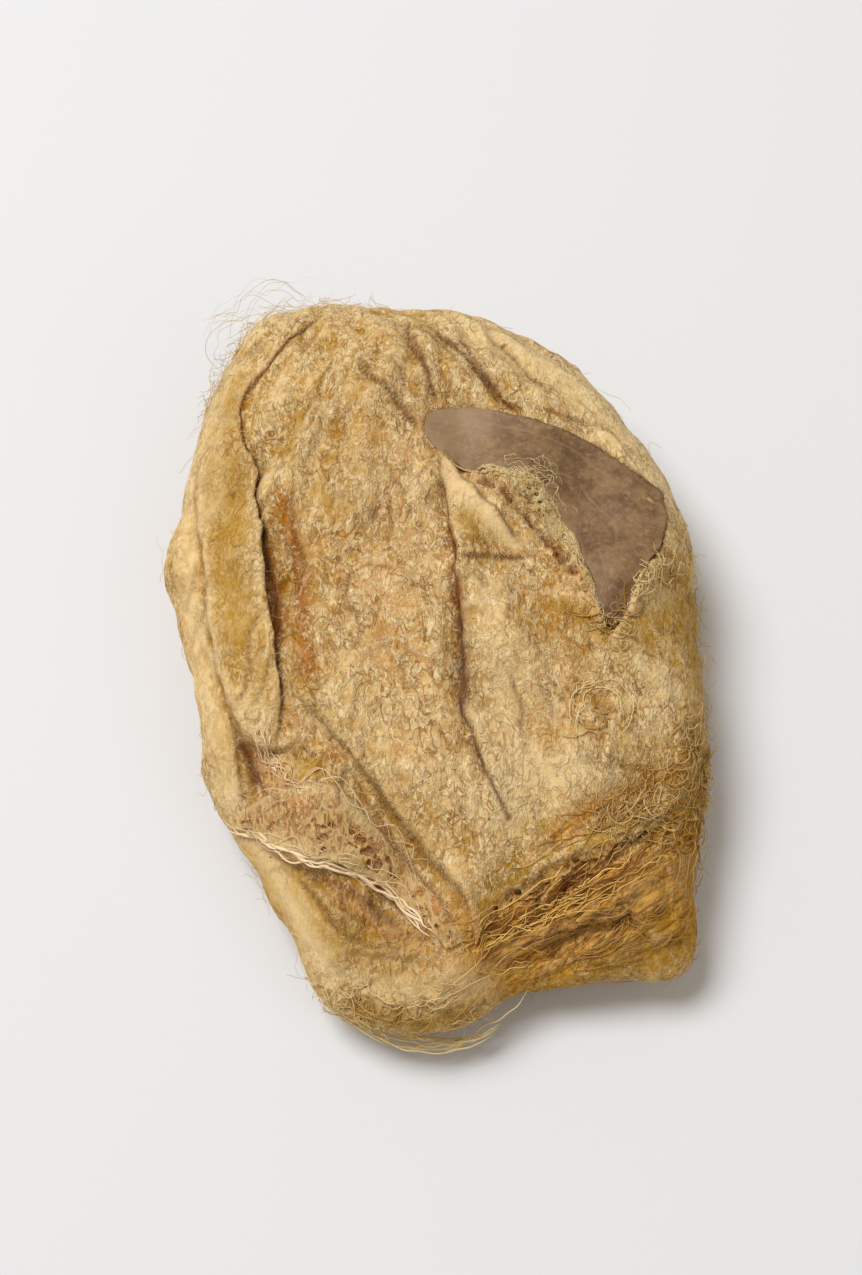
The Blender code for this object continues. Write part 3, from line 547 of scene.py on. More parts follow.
backStrokes = {
    "pale": ((((-4.0, 18.0), (2.0, 6.0), (-2.0, -6.0)), 5.0, 0.4),
             (((14.0, -14.0), (15.0, 0.0), (11.0, 14.0)), 2.2, 0.6)),
    "ochre": ((((-12.0, 12.0), (-14.0, -2.0), (-10.0, -14.0)), 3.0, 0.7),
              (((4.0, -25.0), (12.0, -20.0)), 3.4, 0.95), (((4.0, 10.0), (5.0, 2.0)), 3.0, 0.5)),
    # umber and amber along the first back fold: painted shade at its foot
    "umber": ((((10.6, -18.0), (9.4, -9.0), (6.6, -1.0)), 0.4, 0.6),),
    "amber": ((((10.2, -17.0), (9.0, -8.0)), 0.8, 0.7),),
    "smooth": ((((-16.4, 8.0), (-15.0, -4.0)), 1.8, 0.8),
               (((4.0, -24.0), (14.0, -21.0)), 2.0, 0.7)),
    "rosy": ((((2.0, 12.0), (0.0, -4.0)), 6.0, 0.5),),
    "net": ((((10.6, -18.0), (9.4, -9.0)), 1.2, 0.6),),
    "fray": ((((3.0, -25.4), (10.0, -23.4), (16.0, -21.4)), 1.6, 0.8),),
    "curls": ((((16.6, -4.0), (17.4, -14.0)), 1.4, 0.7),),
    "fuzz": ((((-16.4, 19.0), (-13.4, 25.0), (-7.0, 27.4)), 2.2, 1.0),
             (((18.6, 4.0), (18.4, -4.0), (18.6, -16.0)), 1.6, 0.7),
             (((-8.0, -25.0), (-2.5, -28.4), (4.0, -26.8)), 1.6, 0.6)),
}


def tent(turns):
    return 4 * np.abs(turns - np.floor(turns + 0.5)) - 1


def pleatHeight(places, start):
    x, y = places.T * (2 * np.pi / shell["wanderLength"])
    wander = shell["pleatWander"] * np.stack(
        [np.sin(y + 1.3) + 0.5 * np.sin(2.3 * y - 1.4 * x),
         np.sin(1.2 * x + 0.4) + 0.5 * np.sin(1.9 * x + y)], axis=1)
    placed = places + wander
    out = placed - shell["fanCentre"]
    fan = np.arctan2(out[:, 0], -out[:, 1]) / shell["fanSpacing"]
    total = shell["fanHeight"] * tent(fan + start)
    for heading, spacing, size, first in shell["pleats"]:
        across = np.array([np.sin(np.radians(heading)), -np.cos(np.radians(heading))])
        total += size * tent(placed @ across / spacing + first + start)
    return total


def outlineRadius(angle):
    rim = smoothCurve(shell["outline"], closed=True, step=0.4 * mm)
    rim *= np.array([shell["width"], shell["length"]]) / (rim.max(axis=0) - rim.min(axis=0))
    angles = np.arctan2(rim[:, 1], rim[:, 0])
    order = angles.argsort()
    return np.interp(angle, angles[order], np.linalg.norm(rim, axis=1)[order],
                     period=2 * np.pi)


def evenRadius(share):
    # rings evenly spread over the pillow's section, and not over its plan
    radius = np.linspace(0, 1, 400)
    height = shell["crown"] / (shell["width"] / 2) * np.sqrt(1 - radius ** shell["frontRoundness"])
    steps = np.hypot(np.diff(radius), np.diff(height))
    length = np.concatenate([[0], np.cumsum(steps)])
    return np.interp(share, length / length[-1], radius)


def discGrid(cells):
    a, b = np.meshgrid(np.linspace(-1, 1, cells + 1), np.linspace(-1, 1, cells + 1))
    wide = np.abs(a) > np.abs(b)
    radius = np.maximum(np.abs(a), np.abs(b))
    quarter = np.pi / 4
    with np.errstate(divide="ignore", invalid="ignore"):
        angle = np.where(wide, quarter * b / a, 2 * quarter - quarter * a / b)
    angle = np.nan_to_num(angle)
    angle += np.where(np.where(wide, a, b) < 0, np.pi, 0)
    return radius.ravel(), angle.ravel()


def pillow(radius, places, roundness):
    turn = places[:, 0] / np.maximum(np.linalg.norm(places, axis=1), 0.4 * mm)
    section = np.sqrt(1 - radius ** (roundness + shell["roundnessSwing"] * turn))
    return section * (1 - shell["mouthThinning"] * smoothStep(-2 * places[:, 1] / shell["length"]))


def rimHeight(places):
    wave = shell["rimShare"] * pleatHeight(places, shell["backStart"] / 2)
    return shell["rimHeight"] + shell["rimRise"] * places[:, 1] + wave


def relief(places, folds, start):
    # height and sideways push of the folds, with the line of painted shade and the crest of painted
    # highlight of each
    height = pleatHeight(places, start)
    push = np.zeros_like(places)
    line, crest = np.zeros(len(places)), np.zeros(len(places))
    strayed = places.copy()
    for size, share in ((shell["wobbleSize"], 1.0), (shell["wobbleSize"] / 3, 0.5)):
        strayed += share * shell["wobble"] * softStray(places, size, 11)
    for spec in folds:
        curve = smoothCurve(spec["path"])
        (leftHeight, leftReach), (rightHeight, rightReach) = spec["left"], spec["right"]
        margin = 5 * max(leftReach, rightReach) * mm
        near = np.flatnonzero(np.all((strayed > curve.min(axis=0) - margin)
                                     & (strayed < curve.max(axis=0) + margin), axis=1))
        if not len(near):
            continue
        distance, share, way, _ = along(curve, strayed[near])
        fade = smoothStep(share / shell["foldEnds"]) * smoothStep((1 - share) / shell["foldEnds"])
        onLeft = 1 / (1 + np.exp(np.clip(-distance / (shell["foldSoftness"] / 4), -60, 60)))
        nearLeft = np.exp(-np.maximum(distance, 0) / (leftReach * mm))
        nearRight = np.exp(-np.maximum(-distance, 0) / (rightReach * mm))
        height[near] += fade * mm * (onLeft * leftHeight * nearLeft
                                     + (1 - onLeft) * rightHeight * nearRight)
        push[near] += np.stack([way[:, 1], -way[:, 0]], axis=1) * (
            spec["lean"] * fade * onLeft * nearLeft)[:, None]
        foot, top = (np.exp(-((distance - at) / wide) ** 2)
                     for at, wide in (shell["footLine"], shell["crestLine"]))
        line[near] = np.maximum(line[near], spec["line"] * fade * foot)
        crest[near] = np.maximum(crest[near], spec["crest"] * fade * top)
    return height, push, line, crest


def strokes(places, listed):
    # soft strokes laid over each other, from 0 to 1
    clear = np.ones(len(places))
    for path, reach, strength in listed:
        distance, share, _, length = along(smoothCurve(inMm(path)), places)
        past = (share - np.clip(share, 0, 1)) * length
        clear *= 1 - strength * np.exp(-(np.hypot(distance, past) / (reach * mm)) ** 2)
    return 1 - clear


# the leaf scrap's two long edges, seen from above

leafScrap = {
    "outer": inMm(((-0.6, 12.9), (-0.4, 14.8), (2.1, 15.5), (5.7, 14.6), (9.4, 13.3),
                   (11.7, 12.5), (14.0, 10.8), (16.0, 9.2), (16.6, 7.8), (16.2, 4.8),
                   (15.2, 3.0), (14.2, 0.7), (13.5, -1.0), (12.3, -2.2))),
    "inner": inMm(((-0.6, 12.9), (0.9, 11.2), (3.1, 9.9), (5.6, 9.2), (7.3, 8.8), (8.2, 7.5),
                   (9.1, 5.9), (10.0, 4.9), (10.4, 3.2), (11.2, 0.6), (11.6, -1.2),
                   (12.3, -2.2))),
    "cellsAlong": 120, "cellsAcross": 26,
    "long": 26 * mm, "wide": 5 * mm,
    "thickness": 0.16 * mm,
    "sunk": 0.05 * mm,           # its top lies this far below the silk round it
    "bridged": 25,               # rounds of smoothing: it is stiffer than the silk
    "bed": 0.30 * mm,            # depth of its bed in the silk
    "bedEdge": 0.45 * mm,        # the silk climbs out of the bed over this width
    # how far its torn edge strays, over which length, and how wide its ends are
    "ragged": 0.16 * mm, "raggedSize": 0.9 * mm, "blunt": 0.05 * mm,
    "around": ((-3 * mm, -5 * mm), (30 * mm, 18 * mm)),     # corners of the part that holds it
}


def inOutline(places, outline):
    inside = np.zeros(len(places), bool)
    for (ax, ay), (bx, by) in zip(outline, np.roll(outline, -1, axis=0)):
        if ay != by:
            crosses = (ay > places[:, 1]) != (by > places[:, 1])
            inside ^= crosses & (places[:, 0] < (bx - ax) * (places[:, 1] - ay) / (by - ay) + ax)
    return inside


def leafBed(places):
    ring = np.concatenate([leafScrap["outer"], leafScrap["inner"][-2:0:-1]])
    ring = smoothCurve(ring, closed=True)
    distance = np.full(len(places), 1.0)
    low, high = leafScrap["around"]
    near = np.all((places > low) & (places < high), axis=1)
    close = places[near]
    apart = np.sqrt(np.maximum((ring ** 2).sum(axis=1) - 2 * close @ ring.T
                               + (close ** 2).sum(axis=1)[:, None], 0)).min(axis=1)
    distance[near] = np.where(inOutline(close, ring), -apart, apart)
    return leafScrap["bed"] * smoothStep((0.5 * leafScrap["bedEdge"] - distance)
                                         / leafScrap["bedEdge"])


def frontSheet(radius, places, withBed=True):
    calm = 1 - radius ** shell["rimCalm"]
    rise, push, line, crest = relief(places, frontFolds, 0.0)
    height = rimHeight(places) + shell["crown"] * pillow(radius, places, shell["frontRoundness"])
    height += rise * calm
    if withBed:
        height -= leafBed(places)
    return np.column_stack([places + push * calm[:, None], height]), line * calm, crest * calm


def backSheet(radius, places):
    calm = 1 - radius ** shell["rimCalm"]
    spot = smoothStep((np.linalg.norm(places / shell["restSpot"], axis=1) - 1) / shell["spotEdge"])
    rise, push, line, crest = relief(places, backFolds, shell["backStart"])
    height = rimHeight(places) - shell["belly"] * pillow(radius, places, shell["backRoundness"])
    height = np.maximum((height - rise * calm) * spot, 0.0)
    return (np.column_stack([places + push * (calm * spot)[:, None], height]), line * calm,
            crest * calm)


def discPlaces(cells):
    share, angle = discGrid(cells)
    radius = evenRadius(share)
    reach = radius * outlineRadius(angle)
    for count, start in shell["flutes"]:
        dent = tent((count * angle + np.sin(3 * angle + start)) / (2 * np.pi))
        reach += 0.5 * shell["rimFlutes"] * dent * radius ** shell["rimCalm"]
    return radius, np.column_stack([np.cos(angle), np.sin(angle)]) * reach[:, None]


def paint(points, listed, line, crest, radius):
    # the attributes that the materials and the fibres read, as zones from 0 to 1
    places = points[:, :2]
    zones = {name: strokes(places, listed[name]) for name in listed}
    # painted shade in the hollows and painted highlight on the ridges: height above the mean of 1.5 mm
    # round
    rounds, fullHeight = 30, 0.16 * mm
    side = int(round(len(points) ** 0.5))
    height = points[:, 2].reshape(side, side)
    raised = np.clip((height - smoothed(height, rounds, own=4)).ravel() / fullHeight, -1, 1)
    zones["hollow"] = np.maximum(-raised, 0) * (1 - 0.5 * radius ** 8)
    crest = np.maximum(crest, 0.55 * np.maximum(raised, 0))
    # the folds' feet get painted shade and their crests painted highlight
    zones["umber"] = np.maximum(zones["umber"], line)
    zones["pale"] = 1 - (1 - zones["pale"]) * (1 - 0.8 * crest)
    rimStart, rimWidth, leastFuzz = 0.90, 0.10, 0.05
    zones["rim"] = smoothStep((radius - rimStart) / rimWidth) * (
        leastFuzz + (1 - leastFuzz) * zones.pop("fuzz"))
    zones["underLeaf"] = leafCover(places)
    return zones


def leafCover(places):
    return smoothStep(leafBed(places) / leafScrap["bed"])


def shellMesh():
    cells = shell["cells"]
    radius, places = discPlaces(cells)
    front, line, crest = frontSheet(radius, places)
    zones = paint(np.column_stack([places, front[:, 2]]), frontStrokes, line, crest, radius)
    half = cells // 2
    backRadius, backPlaces = discPlaces(half)
    back, line, crest = backSheet(backRadius, backPlaces)
    outward = np.column_stack([backPlaces, -back[:, 2]])
    backZones = paint(outward, backStrokes, line, crest, backRadius)
    frontRows = np.arange((cells + 1) ** 2).reshape(cells + 1, cells + 1)
    inner = np.zeros((half + 1, half + 1), bool)
    inner[1:-1, 1:-1] = True
    backRows = frontRows[::2, ::2].copy()
    backRows[inner] = (cells + 1) ** 2 + np.arange(inner.sum())
    points = np.concatenate([front, back[inner.ravel()]])
    faces = quads(frontRows).tolist()
    # the back's outermost cells also take in the front's rim point between their corners
    for i in range(half):
        for j in range(half):
            ring = [backRows[i, j]]
            if j == 0:
                ring.append(frontRows[2 * i + 1, 0])
            ring.append(backRows[i + 1, j])
            if i == half - 1:
                ring.append(frontRows[-1, 2 * j + 1])
            ring.append(backRows[i + 1, j + 1])
            if j == half - 1:
                ring.append(frontRows[2 * i + 1, -1])
            ring.append(backRows[i, j + 1])
            if i == 0:
                ring.append(frontRows[0, 2 * j + 1])
            faces.append([int(k) for k in ring])
    merged = {name: np.concatenate([zones[name], backZones[name][inner.ravel()]])
              for name in zones}
    return points, faces, merged


def addZones(mesh, zones):
    for name, values in zones.items():
        mesh.attributes.new(name, "FLOAT", "POINT").data.foreach_set(
            "value", values.astype(np.float32))


def addPiece(name, mesh):
    made = bpy.data.objects.new(name, mesh)
    bpy.context.scene.collection.objects.link(made)
    return made


def addMesh(name, points, faces, zones):
    mesh = bpy.data.meshes.new(name)
    mesh.from_pydata(points.tolist(), [], faces)
    addZones(mesh, zones)
    mesh.update()
    mesh.shade_smooth()
    return addPiece(name, mesh)


def becomeMesh(piece):
    # the evaluated shape becomes the piece's own mesh, and its modifiers go
    depsgraph = bpy.context.evaluated_depsgraph_get()
    mesh = bpy.data.meshes.new_from_object(piece.evaluated_get(depsgraph), depsgraph=depsgraph)
    piece.modifiers.clear()
    piece.data = mesh
    return piece


def growFrom(piece, group, values):
    modifier = piece.modifiers.new(group.name, "NODES")
    modifier.node_group = group
    sockets = {s.name: s.identifier for s in group.interface.items_tree
               if s.item_type == "SOCKET" and s.in_out == "INPUT"}
    for name, value in values.items():
        modifier[sockets[name]] = value
    return becomeMesh(piece)


# lines that wind where a noise passes its middle value, for both kinds of node tree

def windingLines(add, place, size, width, start, distortion):
    # size and width in mm; the outputs are the line's strength and the noise's distance from it
    # lines are twice as long as wide apart: the larva's loops run lengthwise
    placed = add("vectorTimesPlus", [
        place, (1 / (size * mm), 0.52 / (size * mm), 1 / (size * mm)), start])
    noise = add("noise", {"Vector": placed, "Scale": 1.0, "Detail": 1.0, "Distortion": distortion})
    off = add("minus", [noise, 0.5])
    off = add("absolute", [off])
    strength = add("softRange", [off, 0.0, 0.45 * width / size, 1.0, 0.0])
    return strength, off


def patches(add, place, size, low, high, start):
    # soft-edged patches of that size in mm, from 0 to 1
    placed = add("vectorTimesPlus", [place, [1 / (size * mm)] * 3, start])
    noise = add("noise", {"Vector": placed, "Scale": 1.0, "Detail": 3.0, "Roughness": 0.6})
    return add("softRange", [noise, low, high, 0.0, 1.0])


def aboveFloor(add, place, least):
    # nothing goes below the surface that it lies on
    parts = add("ShaderNodeSeparateXYZ", [place]).outputs
    above = add("larger", [parts[2], least])
    return add("ShaderNodeCombineXYZ", [parts[0], parts[1], above])


# sizes in mm of the crackle that both the relief and the colour follow
crackle = {"size": 0.85, "width": 0.10, "start": (3.1, 7.7, 1.3), "distortion": 1.1}
crackleHere = {"size": 2.4, "low": 0.42, "high": 0.55, "start": (9.0, 2.0, 4.0)}

# heights of the wrinkles, crackle and matting, which stand along the surface's normals
crumple = {"Wrinkle Height": 0.13 * mm, "Crackle Height": 0.035 * mm,
           "Matting Height": 0.035 * mm}


def crumpleTree():
    tree, add, given = newGroup("crumpled silk", "GeometryNodeTree",
                                {"Geometry": "Geometry", **{name: "Float" for name in crumple}})
    place = add("GeometryNodeInputPosition")
    # wrinkles run lengthwise and are creased on one side, as paper is
    _, folded = windingLines(add, place, 4.0, 1.0, (1.0, 5.0, 2.0), 0.8)
    folded = add("minus", [0.10, folded])
    wrinkled = add("times", [folded, 6.0])
    # the place before any relief, the ridges and the dips are kept for the material, which paints
    # highlight on the ridges and shade in the dips
    laid = add("storeVector", {"Geometry": given["Geometry"], "Name": "laid", "Value": place})
    for name, low, high in (("ridge", 0.25, 0.55), ("dip", -0.15, -0.9)):
        share = add("range", [wrinkled, low, high, 0.0, 1.0])
        laid = add("store", {"Geometry": laid, "Name": name, "Value": share})
    _, apart = windingLines(add, place, **crackle)
    puffed = add("softRange", [apart, 0.0, 0.13, 0.0, 1.0])
    crackled = add("times", [puffed, patches(add, place, **crackleHere)])
    matting = patches(add, place, 0.55, 0.3, 0.7, (2.0, 2.0, 7.0))
    high = add("times", [matting, given["Matting Height"]])
    for shape, height in ((wrinkled, "Wrinkle Height"), (crackled, "Crackle Height")):
        high = add("timesPlus", [shape, given[height], high])
    # the silk under the leaf is pressed smooth
    pressed = add("named", {"Name": "underLeaf"})
    bare = add("minus", [1.0, pressed])
    high = add("times", [high, bare])
    out = add("vectorScale", {0: add("GeometryNodeInputNormal"), "Scale": high})
    moved = add("vectorPlus", [place, out])
    placed = add("setPlace", {"Geometry": laid, "Position": aboveFloor(add, moved, 0.0)})
    add("NodeGroupOutput", [placed])
    return tree


# materials

silkColours = {
    "middle": "#BC8A2C", "light": "#E6C282", "stainAndShade": "#AC7A14", "thread": "#F6E0B0",
    "crackle": "#84500A", "speck": "#361600",
    "pale": "#ECD29E", "ochre": "#AE8008", "umber": "#521E02", "rosy": "#DCA26C",
    "amber": "#B26808", "netGap": "#A05A06", "netThread": "#ECC690", "gold": "#EEB244",
}

# zone, its strongest mix, and how much the noise eats into its edge
# umber also carries the painted shade at the folds' feet, and pale the painted highlight on their
# crests
zoneMixes = (("rosy", 0.80, 0.7), ("ochre", 0.92, 0.9), ("pale", 0.85, 0.9),
             ("amber", 0.90, 0.8), ("umber", 0.92, 0.25))


def zoneGroup():
    # tints a silk colour by the zones painted on the shell
    tree, add, given = newGroup("silk zones", "ShaderNodeTree", {"Colour": "Color"})
    colour = given[0]
    place = add("ShaderNodeTexCoord").outputs["Object"]
    # the zones' edges, stains and painted shade and highlight alike, stray by about 1.4 mm
    broken = add("noise", {"Vector": place, "Scale": 700.0, "Detail": 4.0, "Roughness": 0.65})
    centred = add("minus", [broken, 0.5])
    for name, strongest, eaten in zoneMixes:
        zone = add("attribute", attribute_name=name).outputs["Fac"]
        swing = add("times", [centred, eaten * 2.4])
        # the noise shifts the zone only where it is neither absent nor full
        part = add("minus", [1.0, zone])
        part = add("times", [part, zone])
        shifted = add("timesPlus", [swing, part, zone], use_clamp=True)
        amount = add("times", [shifted, strongest])
        colour = add("mix", {0: amount, 6: colour, 7: linearColour(silkColours[name])}).outputs[2]
    add("NodeGroupOutput", [colour])
    return tree


def silkMaterial(zones):
    # matted wild silk: the larva lays thousands of crossing loops and glues them with its
    # gum, so it dries papery and dull, crackled with brown, and with gum stains;
    # thin silk lets a little warm light through
    made, add, shader = newMaterial("matted wild silk", {
        "IOR": 1.54, "Specular IOR Level": 0.15, "Subsurface Weight": 0.35,
        "Subsurface Radius": (1.0, 0.5, 0.15), "Subsurface Scale": 0.5 * mm})
    tints = {name: linearColour(code) for name, code in silkColours.items()}
    place = add("attribute", attribute_name="laid").outputs["Vector"]
    umber, net, ochre, smooth, fray, hollow, dip, ridge = (
        add("attribute", attribute_name=name).outputs["Fac"]
        for name in ("umber", "net", "ochre", "smooth", "fray", "hollow", "dip", "ridge"))
    # the tightest silk is smooth and hardly crackled
    matted = add("timesPlus", [-0.8, smooth, 1.0])
    # gum stains patches; the hollows and the wrinkles' dips take the stain colour as painted shade
    stainedAndShaded = 0.0
    for share, strongest in ((patches(add, place, 2.6, 0.47, 0.58, (1.0, 8.0, 3.0)), 0.9),
                             (hollow, 0.9), (dip, 0.6)):
        part = add("times", [share, strongest])
        stainedAndShaded = add("larger", [part, stainedAndShaded])
    # torn layers show their threads side by side, golden ones between gummed ones
    drawn = add("ShaderNodeMapping", {
        "Vector": place, "Rotation": (0.0, 0.0, 0.60),
        "Scale": (3.2 * mm, 0.22 * mm, 0.4 * mm)}, vector_type="TEXTURE")
    drawnOut = add("noise", {"Vector": drawn, "Scale": 1.0, "Detail": 2.0, "Distortion": 0.5})
    streaks = [add("range", [drawnOut, low, high, 0.0, strongest])
               for low, high, strongest in ((0.48, 0.43, 0.6), (0.42, 0.36, 0.85),
                                            (0.49, 0.57, 0.85))]
    # pale threads of the outer loops in two sizes, fewer of them where there is gum and where the
    # creases' shade is painted; the real ones are about 0.03 mm thick, so they are drawn three times as
    # wide to show
    threads = 0.0
    for line in (windingLines(add, place, 0.75, 0.10, (1.0, 1.0, 1.0), 1.2)[0],
                 windingLines(add, place, 0.42, 0.08, (6.0, 2.0, 9.0), 0.9)[0]):
        threads = add("larger", [line, threads])
    for share in (patches(add, place, 1.4, 0.30, 0.55, (3.0, 3.0, 8.0)), matted):
        threads = add("times", [threads, share])
    gummed = add("times", [ochre, 0.7])
    gummed = add("larger", [umber, gummed])
    clear = add("timesPlus", [-0.75, gummed, 0.8])
    # brown crackle in two sizes
    cracks = 0.0
    for line, here, strongest in (
            (windingLines(add, place, **crackle)[0], patches(add, place, **crackleHere), 1.0),
            (windingLines(add, place, 0.55, 0.09, (4.0, 4.0, 2.0), 0.9)[0],
             patches(add, place, 0.9, 0.34, 0.56, (8.0, 1.0, 5.0)), 0.6)):
        part = add("times", [line, here])
        part = add("times", [part, strongest])
        cracks = add("larger", [part, cracks])
    for share in (matted, 0.72):
        cracks = add("times", [cracks, share])
    # nets of thread with amber gaps, with painted shade in the middle of each gap
    mesh, fromMesh = windingLines(add, place, 0.45, 0.17, (7.0, 3.0, 3.0), 0.6)
    holes = add("range", [fromMesh, 0.12, 0.22, 0.0, 0.85])
    netted = tints["netGap"]
    for share, tint in ((holes, "speck"), (mesh, "netThread")):
        netted = add("mix", {0: share, 6: netted, 7: tints[tint]}).outputs[2]
    # from the ground up: each layer's colour, and the shares whose product is its strength
    colour = tints["middle"]
    for tint, shares in (
            (tints["light"], (patches(add, place, 0.7, 0.36, 0.62, (5.0, 1.0, 1.0)),)),
            (tints["stainAndShade"], (stainedAndShaded, patches(add, place, 0.8, 0.25, 0.55, (7.0, 8.0, 3.0)))),
            # painted highlight on the wrinkles' ridges
            (tints["pale"], (ridge, 0.45)), (None, ()),
            (tints["amber"], (streaks[0], fray)), (tints["crackle"], (streaks[1], fray)),
            (tints["gold"], (streaks[2], fray)), (tints["thread"], (threads, clear)),
            (tints["crackle"], (cracks,)), (netted, (net, 0.8)),
            # specks as small as pinheads
            (tints["speck"], (patches(add, place, 0.26, 0.66, 0.72, (1.0, 6.0, 6.0)),
                              patches(add, place, 4.0, 0.45, 0.6, (2.0, 6.0, 1.0)), 0.8))):
        if tint is None:         # here the painted zones tint what lies below
            colour = add("ShaderNodeGroup", [colour], node_tree=zones).outputs[0]
            continue
        amount = shares[0]
        for share in shares[1:]:
            amount = add("times", [amount, share])
        colour = add("mix", {0: amount, 6: colour, 7: tint}).outputs[2]
    rough = add("range", [threads, 0.0, 1.0, 0.85, 0.5])
    # the threads stand up, the crackle and the net's gaps lie deep
    grain = patches(add, place, 0.3, 0.3, 0.7, (3.0, 3.0, 3.0))
    grain = add("times", [grain, matted])
    high = add("times", [threads, 1.3])
    high = add("timesPlus", [grain, 0.8, high])
    pits = add("times", [net, holes])
    deep = add("times", [cracks, 0.7])
    deep = add("larger", [deep, pits])
    high = add("minus", [high, deep])
    bump = add("ShaderNodeBump", {"Height": high, "Strength": 1.0, "Distance": 0.05 * mm})
    feed(shader, {"Base Color": colour, "Roughness": rough, "Normal": bump})
    return made


def fibreMaterial(name, zones, dark, light, rough):
    # a single silk thread: a solid glossy filament, so each one catches its own light
    made, add, shader = newMaterial(name, {"Roughness": rough, "IOR": 1.54,
                                           "Specular IOR Level": 0.25})
    tone = add("attribute", attribute_name="tone").outputs["Fac"]
    mixed = add("mix", {0: tone, 6: linearColour(dark), 7: linearColour(light)}).outputs[2]
    feed(shader, {"Base Color": add("ShaderNodeGroup", [mixed], node_tree=zones)})
    return made


leafColours = {"dark": "#6A4C30", "ground": "#92724E", "streak": "#AC9474", "blunt": "#A88E6E"}


def leafMaterial():
    # a scrap of dry leaf: dull waxy skin with faint lengthwise streaks from drying
    made, add, shader = newMaterial("dry leaf", {"Roughness": 0.6, "IOR": 1.45})
    tints = {name: linearColour(code) for name, code in leafColours.items()}
    place = add("ShaderNodeTexCoord").outputs["Object"]
    # clouds of about 1.9 mm, specks of 0.4 mm and a grain of 0.3 mm
    cloud = add("noise", {"Vector": place, "Scale": 520.0, "Detail": 6.0, "Roughness": 0.72})
    speck = add("noise", {"Vector": place, "Scale": 2600.0, "Detail": 3.0, "Roughness": 0.7})
    grain = add("noise", {"Vector": place, "Scale": 3600.0, "Detail": 2.0})
    # streaks of 11 by 0.7 mm follow the leaf: its two attributes are metres along and across
    far, wide = (add("attribute", attribute_name=name).outputs["Fac"]
                 for name in ("leafAlong", "leafAcross"))
    drawn = add("ShaderNodeCombineXYZ", [far, wide])
    drawn = add("ShaderNodeMapping", {"Vector": drawn, "Scale": (90.0, 1500.0, 1.0)})
    streak = add("noise", {"Vector": drawn, "Scale": 1.0, "Detail": 3.0, "Roughness": 0.6})
    # each layer's noise, the range of it that shows, and its strength at both ends
    spread, pale, speck, blunt = (
        add("range", [shape, *limits]) for shape, limits in (
            (cloud, (0.38, 0.62, 0.0, 1.0)), (streak, (0.55, 0.72, 0.0, 0.45)),
            (speck, (0.50, 0.74, 0.0, 0.55)), (far, (0.0, 9.0 * mm, 0.7, 0.0))))
    marks = add("larger", [pale, speck])
    colour = tints["dark"]
    # it is lighter towards its blunt end
    for share, tint in ((spread, "ground"), (marks, "streak"), (blunt, "blunt")):
        colour = add("mix", {0: share, 6: colour, 7: tints[tint]}).outputs[2]
    high = add("timesPlus", [grain, 0.4, streak])
    bump = add("ShaderNodeBump", {"Height": high, "Strength": 0.5, "Distance": 0.05 * mm})
    feed(shader, {"Base Color": colour, "Normal": bump})
    return made


zones = zoneGroup()
silk = silkMaterial(zones)

points, faces, painted = shellMesh()
middle = (points.min(axis=0) + points.max(axis=0)) / 2
cadLow, cadHigh = (np.array(corner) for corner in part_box("cocoon_shell"))
shift = (cadLow + cadHigh) / 2 - middle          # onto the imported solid's own box
shift[2] = -points[:, 2].min()
silkShell = addMesh("silk_shell", points + shift, faces, painted)
crumpled = crumpleTree()
growFrom(silkShell, crumpled, crumple)
silkShell.data.materials.append(silk)
print("silk shell:", len(silkShell.data.polygons), "faces")


def leafMesh():
    edges = []
    for number, name in enumerate(("inner", "outer")):
        edge = evenly(smoothCurve(leafScrap[name]), leafScrap["cellsAlong"] + 1)
        stray = softStray(edge, leafScrap["raggedSize"], 31 + number, apart=10)
        edges.append(edge + leafScrap["ragged"] * stray)
    for end in (0, -1):
        edges[1][end] = edges[0][end] + leafScrap["blunt"]
    across = np.linspace(0, 1, leafScrap["cellsAcross"] + 1)[None, :, None]
    places = edges[0][:, None] * (1 - across) + edges[1][:, None] * across
    shape = places.shape[:2]
    places = places.reshape(-1, 2)
    angle = np.arctan2(places[:, 1], places[:, 0])
    radius = np.clip(np.linalg.norm(places, axis=1) / outlineRadius(angle), 0, 1)
    surface, _, _ = frontSheet(radius, places, withBed=False)
    height = smoothed(surface[:, 2].reshape(shape), leafScrap["bridged"]).ravel()
    top = np.column_stack([places, height - leafScrap["sunk"]])
    bottom = top - [0, 0, leafScrap["thickness"]]
    rows = np.arange(len(places)).reshape(shape)
    ring = np.concatenate([rows[0, :-1], rows[:-1, -1], rows[-1, :0:-1], rows[:0:-1, 0]])
    after = np.roll(ring, -1)
    walls = np.stack([ring, after, after + len(places), ring + len(places)], axis=1)
    faces = np.concatenate([quads(rows)[:, ::-1], quads(rows + len(places)), walls])
    far = np.repeat(np.linspace(0, leafScrap["long"], shape[0]), shape[1])
    wide = np.tile(np.linspace(0, leafScrap["wide"], shape[1]), shape[0])
    drawn = {"leafAlong": np.tile(far, 2), "leafAcross": np.tile(wide, 2)}
    return np.concatenate([top, bottom]), faces.tolist(), drawn


leafPoints, leafFaces, leafDrawn = leafMesh()
leaf = addMesh("leaf_scrap_dry", leafPoints + shift, leafFaces, leafDrawn)
leaf.data.materials.append(leafMaterial())
print("leaf scrap made")


# loose and matted silk threads: one tree, with a set of inputs for each piece of fibres

def makeTubes(add, curves, corners, thick, material):
    # closed tubes along the curves, as a mesh with its material, and the end of the tree
    ring = add("GeometryNodeCurvePrimitiveCircle", {"Resolution": corners, 4: 1.0})
    tubes = add("GeometryNodeCurveToMesh", {
        "Curve": curves, "Profile Curve": ring, "Scale": thick, "Fill Caps": True})
    tubes = add("GeometryNodeSetShadeSmooth", [tubes])
    tubes = add("GeometryNodeRealizeInstances", [tubes])
    coated = add("GeometryNodeSetMaterial", {"Geometry": tubes, "Material": material})
    add("NodeGroupOutput", [coated])


